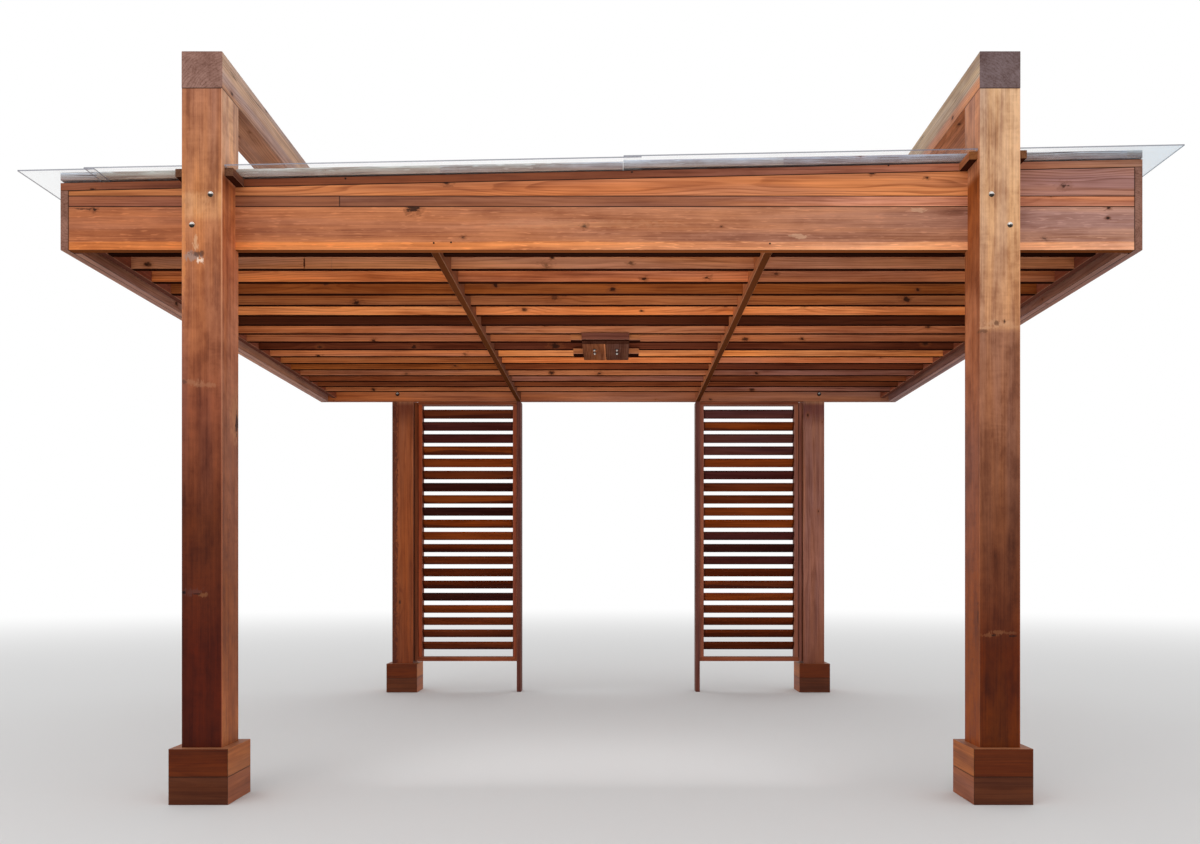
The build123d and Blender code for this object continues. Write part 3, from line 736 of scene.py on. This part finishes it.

# %% [markdown]
# ## The ceiling
# Two ribs and two ledgers carry the ceiling boards. They are seen from below, and their undersides are painted
# dark, a painted shade.

# %% Ribs and ledgers
RIB_X, LEDGER_X = 0.812, 2.487
rib_tone = along_run("X", [(-0.85, "6e3e28"), (0.85, "a8633c")])
# Their undersides are painted dark: painted shade.
for node, seed in (("rib_lower_boards", 23.0), ("rib_upper_boards", 24.0)):
    dress_in_cedar(node, "Y", paired(RIB_X, 0.0, 2.77), rib_tone, seed=seed, under="4e2813", gloss=0.05, rings=0.7)
dress_in_cedar("side_ledgers", "Y", paired(LEDGER_X, 0.0, 2.74), "7e432e", seed=25.0, under="5a3328", gloss=0.05,
               rings=0.7)

# %% [markdown]
# The ceiling boards took the stain very unevenly, from amber to oxblood, so each row has its own tone, by name,
# from the front row back. Some rows of a bay differ, and they are given by their number, where the front row is 0.

# %% Tones of the ceiling boards
STAINS = {"gold": "e68c4e", "amber": "d27f46", "honey": "c77440", "russet": "b46a42", "rose": "c07c55",
          "umber": "a2623f", "hazel": "995a38", "fawn": "855240", "sorrel": "94552f", "chestnut": "85471f",
          "walnut": "743b20", "cocoa": "6a351c", "bark": "592916", "oxblood": "401b0b", "shadow_black": "200b06"}
# The front row, hidden behind the deep board, is painted near black: a painted shadow.
ROWS = ("shadow_black", "rose", "honey", "chestnut", "sorrel", "amber", "oxblood", "russet", "hazel", "bark", "amber",
        "amber", "cocoa", "umber", "fawn", "cocoa", "hazel")
changed = {"left": {10: "russet", 11: "sorrel", 12: "chestnut", 14: "walnut"},
           "middle": {2: "russet", 5: "honey", 7: "umber", 11: "honey"},
           "right": {2: "umber", 5: "gold", 11: "russet", 12: "bark", 13: "fawn", 14: "walnut", 16: "fawn"}}
print(len(ROWS), "rows in", len(STAINS), "stains")

# %% [markdown]
# Their undersides and eased edges are painted dark, a painted shade that draws the thin dark lines between the rows.
# The knots that stand out in the photograph are set where they are; the rest are sown.

# %% Ceiling boards
FIRST_ROW, PITCH = -1.8562, 0.222
ROW_FACE = 0.019  # metres from a board's middle to its front face


def knots_in_rows(*rows):
    """Knots on the ceiling boards, each as its row, x, z, size and at will its strength."""
    return [part for row, x, z, *how in rows
            for part in knot_at(x, FIRST_ROW - ROW_FACE + PITCH * row, z, *how)]


bay_knots = {
    "left": knots_in_rows((4, -1.473, 2.680, 0.020), (8, -1.594, 2.672, 0.013), (9, -1.366, 2.681, 0.018),
                          (10, -2.11, 2.668, 0.012), (10, -1.038, 2.683, 0.014, 0.6), (12, -1.186, 2.692, 0.016),
                          (13, -1.618, 2.677, 0.014, 0.6), (16, -2.047, 2.681, 0.013))
    + spots(-1.653, (-1.561, 2.702, 0.005, 0.035, "3a0b06", 0.95)),
    "middle": knots_in_rows((1, -0.262, 2.725, 0.008), (1, -0.296, 2.684, 0.018, 0.5), (1, 0.147, 2.697, 0.011, 0.6),
                            (2, 0.222, 2.682, 0.012), (2, 0.567, 2.690, 0.013), (3, -0.614, 2.712, 0.013),
                            (3, 0.05, 2.692, 0.016), (4, -0.292, 2.707, 0.020, 0.6), (5, 0.23, 2.691, 0.008),
                            (9, -0.363, 2.690, 0.030), (13, -0.067, 2.681, 0.014)),
    "right": knots_in_rows((2, 0.941, 2.710, 0.012, 0.7), (3, 1.788, 2.690, 0.011), (4, 1.79, 2.700, 0.018),
                           (8, 1.35, 2.685, 0.012), (13, 1.2, 2.682, 0.014))}
# Dark undersides and dark eased edges are painted shade.
for bay, seed in (("left", 26.0), ("middle", 27.0), ("right", 28.0)):
    names = [changed[bay].get(i, name) for i, name in enumerate(ROWS)]
    dress_in_cedar("ceiling_slats_" + bay, "X", ((0.0, FIRST_ROW, 2.736), (ALL, PITCH, ALL)),
                   by_number("Y", names, STAINS), seed=seed, knots=0.3, knot_size=0.018, clouds=1.3, rings=0.9,
                   blots=0.3, gloss=0.05, under="220c06", arris=("2a120a", 0.8), marks=bay_knots[bay])

# %% [markdown]
# The mounting block hangs under the ceiling boards: cross boards, a header and two planks, all dusty and brown.
# The undersides of the cross boards and the header are painted dark, a painted shade, and their pale edges are
# partly worn and partly a painted highlight. The right plank is greyer than the left, whose edge where the two
# meet is painted lighter, a painted highlight.

# %% Mounting block
PLANK_X = 0.08
# The light stops at the meeting edge are a painted highlight.
plank_tone = along_run("X", [(-0.16, "653a24"), (-0.012, "6c3e26"), (-0.008, "9c5c38"), (0.0, "9c5c38"),
                             (0.002, "4c2e24"), (0.16, "523328")])
# Dark undersides are painted shade; the pale edges are partly a painted highlight.
for node, seed, tone in (("mount_cross_boards", 36.0, "9a5e3a"), ("mount_header", 37.0, "683a2a")):
    dress_in_cedar(node, "X", ((0.0, -0.3, 2.64), (ALL, 0.2, ALL)), tone, seed=seed, under="220c06", gloss=0.04,
                   arris=("9a6a58", 0.7), knots=0.0)
dress_in_cedar("mount_planks", "Y", paired(PLANK_X, -0.05, 2.615), plank_tone, seed=38.0, gloss=0.0,
               end_tone="3c2016", arris=("2a140c", 0.8), knots=0.0, blots=0.5)

# %% [markdown]
# ## The screens
# Two screens of tilted louvres stand between the rear posts and two slim mullions, which are in line with the
# ribs. Their boards are thin and were dipped in a deep maroon stain. The frames come first: where two uprights
# meet, the joint is a dark line.

# %% Frames of the screens
SCREEN_Y, SCREEN_Z = 2.06, 1.3
NAILER_X, RAIL_X = 1.7507, 1.3
STILE_X, STILE_CELL = 0.85, 0.8626  # metres; a cell this wide holds each of the four in turn
plain = {"gloss": 0.05, "rings": 0.6, "knots": 0.1}
uprights = [(ACROSS_X, x, "1c0a06", 0.9, 2.0) for x in (-1.7316, -1.7698, 1.7316, 1.7698)]
nailer_tone = along_run("X", [(-1.75, "7c3f24"), (1.75, "8c5646")])
stile_tone = along_run("X", [(-1.71, "873c20"), (1.71, "87513f")])
four_stiles = (STILE_X, SCREEN_Y, SCREEN_Z), (STILE_CELL, ALL, ALL)
dress_in_cedar("screen_mullions", "Z", paired(RIB_X, SCREEN_Y, SCREEN_Z), "5f352c", seed=29.0, **plain)
dress_in_cedar("screen_nailers", "Z", paired(NAILER_X, SCREEN_Y, SCREEN_Z), nailer_tone, seed=30.0, joints=uprights,
               **plain)
dress_in_cedar("screen_stiles", "Z", four_stiles, stile_tone, seed=31.0, joints=uprights, **plain)
for node, z, seed in (("screen_bottom_rails", 0.295, 32.0), ("screen_top_rails", 2.62, 33.0)):
    dress_in_cedar(node, "X", paired(RAIL_X, SCREEN_Y, z), "7a3f28", seed=seed, **plain)

# %% [markdown]
# Each louvre is one cell of the pitch, with its own tone from the chart, named from the lowest up. Many hold a
# band of dark heartwood whose edge runs slantwise, and shade gathers at their ends.

# %% Louvres
FIRST_LOUVRE, LOUVRE_PITCH = 0.4155, 0.1113
DIPPED = {"rust": "7e3813", "henna": "642c14", "maroon": "57220c", "plum": "4a201a", "dusk": "57302a",
          "ebony": "351610"}
LOUVRES = {"left": ("henna", "henna", "henna", "rust", "ebony", "maroon", "maroon", "henna", "maroon", "rust",
                    "rust", "ebony", "rust", "ebony", "henna", "rust", "rust", "plum", "plum", "henna"),
           "right": ("maroon", "maroon", "maroon", "henna", "rust", "henna", "maroon", "plum", "ebony", "plum",
                     "rust", "rust", "henna", "henna", "plum", "rust", "dusk", "dusk", "rust", "dusk")}


def banded(tone):
    """A tone with a band of dark heartwood along the lower edge of some boards."""
    def made(wood):
        tree = wood["tree"]
        run = add(tree, "SeparateXYZ", {0: wood["local"]}, out="Z")
        luck = add(tree, "SeparateXYZ", {0: wood["dice"]}, out="X")
        top = add(tree, "Math", {0: luck, 1: 0.09, 2: -0.098}, operation="MULTIPLY_ADD")
        edge = add(tree, "Math", {0: stretched(wood, "heartwood"), 1: -0.12, 2: run}, operation="MULTIPLY_ADD")
        edge = add(tree, "Math", {0: edge, 1: top}, operation="SUBTRACT")
        held = add(tree, "MapRange", span(edge, -0.064, -0.056, 0.7, 0.0))
        return add(tree, "Mix", {0: held, 6: toned(wood, tone), 7: stain("3a1812")}, **COVER)
    return made


louvre_ends = [(ACROSS_X, x, "1c0a06", 0.6, 3.5) for x in (-1.688, -0.874, 0.874, 1.688)]
for side, seed in (("left", 34.0), ("right", 35.0)):
    dress_in_cedar(side + "_screen_louvres", "X", ((0.0, 2.0646, FIRST_LOUVRE), (ALL, ALL, LOUVRE_PITCH)),
                   banded(by_number("Z", LOUVRES[side], DIPPED)), seed=seed, gloss=0.02, rings=0.4, knots=0.0,
                   clouds=1.3, arris=("8a4420", 0.0), joints=louvre_ends)

# %% [markdown]
# ## The clear sheets
# The roof is clear plastic sheet, 6 mm thick, with a faint blue tint and a film of dust. From below one looks
# straight through it; only the cut edges, which gather light from inside the sheet, draw a grey line. Plain
# alpha does this: low on the faces, high on the edges. Towards the high end the sheet is painted bluer and less
# clear, a painted reflection of the sky.

# %% Clear sheet
EDGE_ALPHA = 0.8
POLYCARBONATE_IOR = 1.585


def clear_sheet():
    finish, tree = new_finish("dusty_clear_polycarbonate")
    coords = add(tree, "TexCoord", out="Object")
    side = add(tree, "VectorMath", {0: coords.node.outputs["Normal"]}, operation="ABSOLUTE")
    cut = add(tree, "MapRange", span(add(tree, "SeparateXYZ", {0: side}, out="Z"), 0.9, 0.6))
    dust = add(tree, "TexNoise", {"Vector": coords, "Scale": 3.0, "Detail": 6.0, "Roughness": 0.65})
    film = add(tree, "MapRange", span(dust, 0.3, 0.75, 0.05, 0.12))
    # A painted reflection: towards the high end the sheet is made bluer and less clear.
    painted_sky_reflection = add(tree, "MapRange", span(add(tree, "SeparateXYZ", {0: coords}, out="X"), 1.9, 2.6))
    dust_and_reflection_veil = add(tree, "Math", {0: painted_sky_reflection, 1: 0.12, 2: film}, operation="MULTIPLY_ADD")
    alpha = add(tree, "Mix", {0: cut, 2: dust_and_reflection_veil, 3: EDGE_ALPHA}, data_type="FLOAT")
    dust_and_reflection_tone = add(tree, "Mix", {0: painted_sky_reflection, 6: stain("ccd6da"), 7: stain("a0d0ee")}, **COVER)
    colour = add(tree, "Mix", {0: cut, 6: dust_and_reflection_tone, 7: stain("70717f")}, **COVER)
    rough = add(tree, "MapRange", span(dust, 0.3, 0.7, 0.08, 0.3))
    close_finish(tree, Base_Color=colour, Roughness=rough, Alpha=alpha, IOR=POLYCARBONATE_IOR)
    return finish


clear = clear_sheet()
for side in ("left", "middle", "right"):
    dress("roof_sheet_" + side, clear)

# %% [markdown]
# ## Fixings
# Zinc-plated steel mirrors the sky and is dulled in spots by weather. What faces down is painted dark, a painted
# shade that stands for a dark reflection, so each dome shows a bright top and a dark lower edge. Washers and nails
# are blackened steel, which hardly shines.

# %% Steel
def weathered_steel_with_painted_shade(name, bright, grime_and_shade, low, high):
    """A steel that is bright on top, painted dark below as shade and dulled in spots, with a roughness from low to
    high.
    """
    finish, tree = new_finish(name)
    coords = add(tree, "TexCoord", out="Object")
    dull = add(tree, "TexNoise", {"Vector": coords, "Scale": 160.0, "Detail": 3.0})  # spots 6 mm across
    # What faces down is painted dark: painted shade.
    up = add(tree, "SeparateXYZ", {0: coords.node.outputs["Normal"]}, out="Z")
    clean_and_lit = add(tree, "Math", {0: dull, 1: 0.8, 2: up}, operation="MULTIPLY_ADD")
    tone = add(tree, "ValToRGB", {0: clean_and_lit}, stops=[(0.0, stain(grime_and_shade)), (0.3, stain(grime_and_shade)), (0.6, stain(bright))])
    rough = add(tree, "MapRange", span(dull, 0.3, 0.7, high, low))
    close_finish(tree, Base_Color=tone, Roughness=rough, Metallic=1.0)
    return finish


zinc = weathered_steel_with_painted_shade("zinc_plated_steel", "f0eeea", "3c3834", 0.2, 0.45)
new_zinc = weathered_steel_with_painted_shade("new_zinc_plated_steel", "f0eeea", "c8c4be", 0.3, 0.5)
dark_steel = weathered_steel_with_painted_shade("blackened_steel", "2e2926", "1c1816", 0.55, 0.75)
print(zinc.name, new_zinc.name, dark_steel.name)

# %% [markdown]
# Round parts are turned: half an outline is spun round an axis, as on a lathe. Each kind of part is one piece,
# with a copy at every place where the frame is fixed, turned to face out of the timber.

# %% Turning and setting out
CORNER = math.radians(40)  # steeper than this between two faces is a real edge


def turned(outline, steps=20):
    """A round part, from half its outline as (radius, height)."""
    mesh = bmesh.new()
    half = [mesh.verts.new((r, 0.0, z)) for r, z in outline]
    edges = [mesh.edges.new(pair) for pair in zip(half, half[1:])]
    bmesh.ops.spin(mesh, geom=half + edges, cent=(0, 0, 0), axis=(0, 0, 1), dvec=(0, 0, 0), angle=math.tau,
                   steps=steps, use_merge=True, use_duplicate=False)
    bmesh.ops.remove_doubles(mesh, verts=mesh.verts, dist=1e-6)
    bmesh.ops.recalc_face_normals(mesh, faces=mesh.faces)
    return mesh


def set_out(name, part, places, finish):
    """One piece: a copy of part at each place, which is where it stands and which way it faces."""
    joined = bmesh.new()
    for at, facing in places:
        one = bpy.data.meshes.new("one")
        part.to_mesh(one)
        one.transform(Matrix.Translation(at) @ Vector(facing).to_track_quat("Z", "Y").to_matrix().to_4x4())
        joined.from_mesh(one)
        bpy.data.meshes.remove(one)
    data = bpy.data.meshes.new(name)
    joined.to_mesh(data)
    joined.free()
    data.shade_smooth()
    data.set_sharp_from_angle(angle=CORNER)
    data.materials.append(finish)
    piece = bpy.data.objects.new(name, data)
    bpy.context.scene.collection.objects.link(piece)
    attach(piece, "root")
    print(name, len(places), "set,", len(data.polygons), "faces")
    return piece


# %% [markdown]
# Two bolts go through each post and the deep board behind it. Their dome heads, 26 mm across with a thin flange,
# are the only bright spots on the front. The outline steps in from the flange and then rounds over.

# %% Dome heads on the posts
BOLTS = ((1.825, 2.844), (1.912, 2.701))  # metres from the middle and up
dome = turned([(0.0130, 0.0), (0.0130, 0.0013), (0.0110, 0.0019), (0.0103, 0.0040), (0.0082, 0.0066),
               (0.0047, 0.0083), (0.0, 0.0089)])
bolts = [(x * side, z) for side in (-1, 1) for x, z in BOLTS]
outside = [((x, -y * POST_FRONT, z), (0, y, 0)) for x, z in bolts for y in (-1, 1)]
set_out("post_bolt_heads", dome, outside, zinc)

# %% [markdown]
# On the other end of each bolt there is a washer, a nut and a stub of thread. The nut is a six-sided blank,
# pulled up to its height, with its edges eased.

# %% Washers, nuts and bolt ends behind the roof edge
NUT_SEAT = 0.002  # metres off the timber, just inside the washer's top


def hexagon(radius, height, ease):
    """A nut, which stands on its washer."""
    mesh = bmesh.new()
    bmesh.ops.create_circle(mesh, cap_ends=True, segments=6, radius=radius)
    top = bmesh.ops.extrude_face_region(mesh, geom=mesh.faces[:])
    bmesh.ops.translate(mesh, vec=(0, 0, height), verts=[g for g in top["geom"] if isinstance(g, bmesh.types.BMVert)])
    bmesh.ops.bevel(mesh, geom=mesh.edges[:], offset=ease, offset_type="OFFSET", segments=2, profile=0.5,
                    affect="EDGES", material=-1)
    bmesh.ops.translate(mesh, vec=(0, 0, NUT_SEAT), verts=mesh.verts)
    bmesh.ops.recalc_face_normals(mesh, faces=mesh.faces)
    return mesh


RIM_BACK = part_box("rear_rim_board")[0].y
washer = turned([(0.0, 0.0), (0.018, 0.0), (0.018, 0.002), (0.0175, 0.0025), (0.0, 0.0025)])
nut = hexagon(0.0115, 0.011, 0.0012)
stub = turned([(0.006, 0.0), (0.006, 0.019), (0.0052, 0.0205), (0.0, 0.0205)], steps=12)
behind = [((x, y * RIM_BACK, z), (0, -y, 0)) for x, z in bolts for y in (-1, 1)]
set_out("rim_bolt_washers", washer, behind, dark_steel)
set_out("rim_bolt_nuts", nut, behind, zinc)
set_out("rim_bolt_ends", stub, behind, zinc)

# %% [markdown]
# Each plank of the mounting block is held by two smaller bolts, one behind the other, seen from below. Under the
# roof they have stayed bright, with only a light painted shade on what faces down.

# %% Bolts under the mounting planks
PLANK_BOLT_X, PLANK_BOLTS_Y = 0.077, (-0.142, -0.042)
plank_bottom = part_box("mount_planks")[0].z
below = [((x, y, plank_bottom), (0, 0, -1)) for x in (-PLANK_BOLT_X, PLANK_BOLT_X) for y in PLANK_BOLTS_Y]
small_washer = turned([(0.0, 0.0), (0.013, 0.0), (0.013, 0.0016), (0.0126, 0.002), (0.0, 0.002)], steps=16)
small_nut = hexagon(0.0075, 0.0065, 0.0008)
small_stub = turned([(0.004, 0.0), (0.004, 0.012), (0.0034, 0.013), (0.0, 0.013)], steps=12)
set_out("mount_bolt_washers", small_washer, below, dark_steel)
set_out("mount_bolt_nuts", small_nut, below, new_zinc)
set_out("mount_bolt_ends", small_stub, below, new_zinc)

# %% [markdown]
# Screws hold the battens down, in pairs. A plumb line is dropped on the batten at each place, so that every head
# lies on the sloping top and faces as it does; where a line misses, at a post, no screw is set. Nails show as
# small dark dots on the front edge.

# %% Screws in the battens and nails in the roof edge
ABOVE = 5.0  # metres up, where the plumb lines start
BATTEN_Y, PAIR = 1.9885, 0.02  # metres to a batten's middle, and from there to either screw of a pair
SCREW_PITCH = 0.4125  # metres along the long battens, between the posts
screw = turned([(0.0045, 0.0), (0.0045, 0.0006), (0.0038, 0.0012), (0.0012, 0.0012), (0.0010, 0.0004), (0.0, 0.0004)],
               steps=12)


def dropped(node, x, y):
    """Where a plumb line through x, y lands on a frame piece, and which way it faces there."""
    hit, at, facing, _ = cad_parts[node].ray_cast((x, y, ABOVE), (0, 0, -1))
    return (at, facing) if hit else None


runs = [-2.5, -2.08] + [SCREW_PITCH * i for i in range(-4, 5)] + [2.08, 2.5]
heads = [dropped(node, x, y + shift) for node, y in (("front_battens", -BATTEN_Y), ("rear_battens", BATTEN_Y))
         for x in runs for shift in (-PAIR, PAIR)]
set_out("batten_screws", screw, [place for place in heads if place], zinc)

nail = turned([(0.0046, 0.0), (0.0046, 0.0008), (0.0030, 0.0014), (0.0, 0.0015)], steps=12)
nailed = [(-1.2375, 2.981), (0.147, 3.012), (1.387, 3.044), (-0.811, 2.669), (-0.7275, 2.672), (0.814, 2.666)]
set_out("rim_nails", nail, [((x, RIM_FRONT, z), (0, -1, 0)) for x, z in nailed], dark_steel)

# %% [markdown]
# ## The studio
# The object stands on a plain pale floor under an even white sky. Near by, the floor is lit like anything else
# and holds the shadow; far off it fades into white for the eye, so that no horizon shows.

# %% Floor
FLOOR_RADIUS, FLOOR_DROP = 80.0, 0.001  # metres; the drop keeps the feet clear of it
FADE_START, FADE_END = 5.0, 24.0  # metres from the middle


def seen_by_eye(tree):
    """1 for rays from the camera, or that a gloss or glass sends on; 0 for light on its way to a diffuse surface."""
    path = tree.nodes.new("ShaderNodeLightPath").outputs
    seen = add(tree, "Math", {0: path["Is Camera Ray"], 1: path["Is Glossy Ray"]}, operation="MAXIMUM")
    return add(tree, "Math", {0: seen, 1: path["Is Transmission Ray"]}, operation="MAXIMUM")


def pale_floor():
    finish, tree = new_finish("pale_floor")
    spot = add(tree, "TexCoord", out="Object")
    far_off = add(tree, "VectorMath", {0: spot}, out="Value", operation="LENGTH")
    haze = add(tree, "MapRange", span(far_off, FADE_START, FADE_END), interpolation_type="SMOOTHSTEP")
    haze = add(tree, "Math", {0: haze, 1: seen_by_eye(tree)}, operation="MULTIPLY")
    ground = add(tree, "BsdfDiffuse", {"Color": (0.78, 0.78, 0.78, 1)})
    glow = add(tree, "Emission", {"Color": (1, 1, 1, 1), "Strength": 1.0})
    mixed = add(tree, "MixShader", {0: haze, 1: ground, 2: glow})
    tree.links.new(mixed, tree.nodes.new("ShaderNodeOutputMaterial").inputs["Surface"])
    return finish


disc = bmesh.new()
bmesh.ops.create_circle(disc, cap_ends=True, segments=96, radius=FLOOR_RADIUS)
bmesh.ops.translate(disc, vec=(0, 0, -FLOOR_DROP), verts=disc.verts)
data = bpy.data.meshes.new("floor")
disc.to_mesh(data)
data.materials.append(pale_floor())
floor = bpy.data.objects.new("floor", data)
scene = bpy.context.scene
scene.collection.objects.link(floor)

# %% [markdown]
# The sky lights the scene a little less brightly than it looks, which leaves room for the lamps. To the eye it is
# pure white.

# %% Sky
SKY_LIGHT, SKY_LOOK = 0.85, 1.0
world = bpy.data.worlds.new("white_sky")
world.use_nodes = True
world.node_tree.nodes.clear()
tree = world.node_tree
level = add(tree, "MapRange", span(seen_by_eye(tree), 0.0, 1.0, SKY_LIGHT, SKY_LOOK))
back = add(tree, "Background", {"Color": (1, 1, 1, 1), "Strength": level})
tree.links.new(back, tree.nodes.new("ShaderNodeOutputWorld").inputs["Surface"])
scene.world = world

# %% [markdown]
# Three soft lamps. The key stands high on the left, the second low in front. The third stands just above the
# ground in the front opening and throws light up at the ceiling boards, as a floor in the sun does; without it
# they would sink into shade. The low ones are wide and flat, so that they stay clear of the floor.

# %% Lamps
def soft_lamp(name, place, aim, width, height, watts, spread=180.0):
    """A lamp of that size in metres, which stands at place and shines towards aim."""
    lamp = bpy.data.lights.new(name, "AREA")
    lamp.shape = "RECTANGLE"
    lamp.size = width
    lamp.size_y = height
    lamp.energy = watts
    lamp.spread = math.radians(spread)
    holder = bpy.data.objects.new(name, lamp)
    holder.location = place
    holder.rotation_mode = "QUATERNION"
    holder.rotation_quaternion = (Vector(aim) - Vector(place)).to_track_quat("-Z", "Y")
    holder.visible_camera = False
    scene.collection.objects.link(holder)
    print(name, "lamp,", watts, "W")


soft_lamp("key", (-4.0, -9.0, 6.5), (0.0, 0.0, 1.5), 4.0, 4.0, 100.0)
soft_lamp("low_front", (1.0, -10.0, 2.0), (0.0, 0.5, 2.6), 5.0, 2.4, 70.0)
soft_lamp("from_the_ground", (0.0, -2.4, 0.55), (0.0, 1.0, 2.7), 2.4, 1.0, 42.0, spread=130.0)

# %% [markdown]
# The camera stands at a seated eye's height, 4.4 m in front of the posts and a little right of the middle. It
# looks level and its frame is shifted up, as an architect's lens does, so that the posts stay upright.

# %% Camera
EYE = (0.070, -6.625, 1.069)
PHOTO_WIDTH, SHIFT_X, SHIFT_Y = 1200, -16, 152  # pixels, from the picture's middle to the point straight ahead
view = bpy.data.cameras.new("camera")
view.lens = 28.5
view.sensor_width = 36.0
view.sensor_fit = "HORIZONTAL"
view.shift_x = SHIFT_X / PHOTO_WIDTH
view.shift_y = SHIFT_Y / PHOTO_WIDTH
stand = bpy.data.objects.new("camera", view)
stand.location = EYE
stand.rotation_euler = (math.radians(90), 0.0, 0.0)
scene.collection.objects.link(stand)
scene.camera = stand
scene.view_settings.view_transform = "Standard"
print("the camera stands at", EYE)
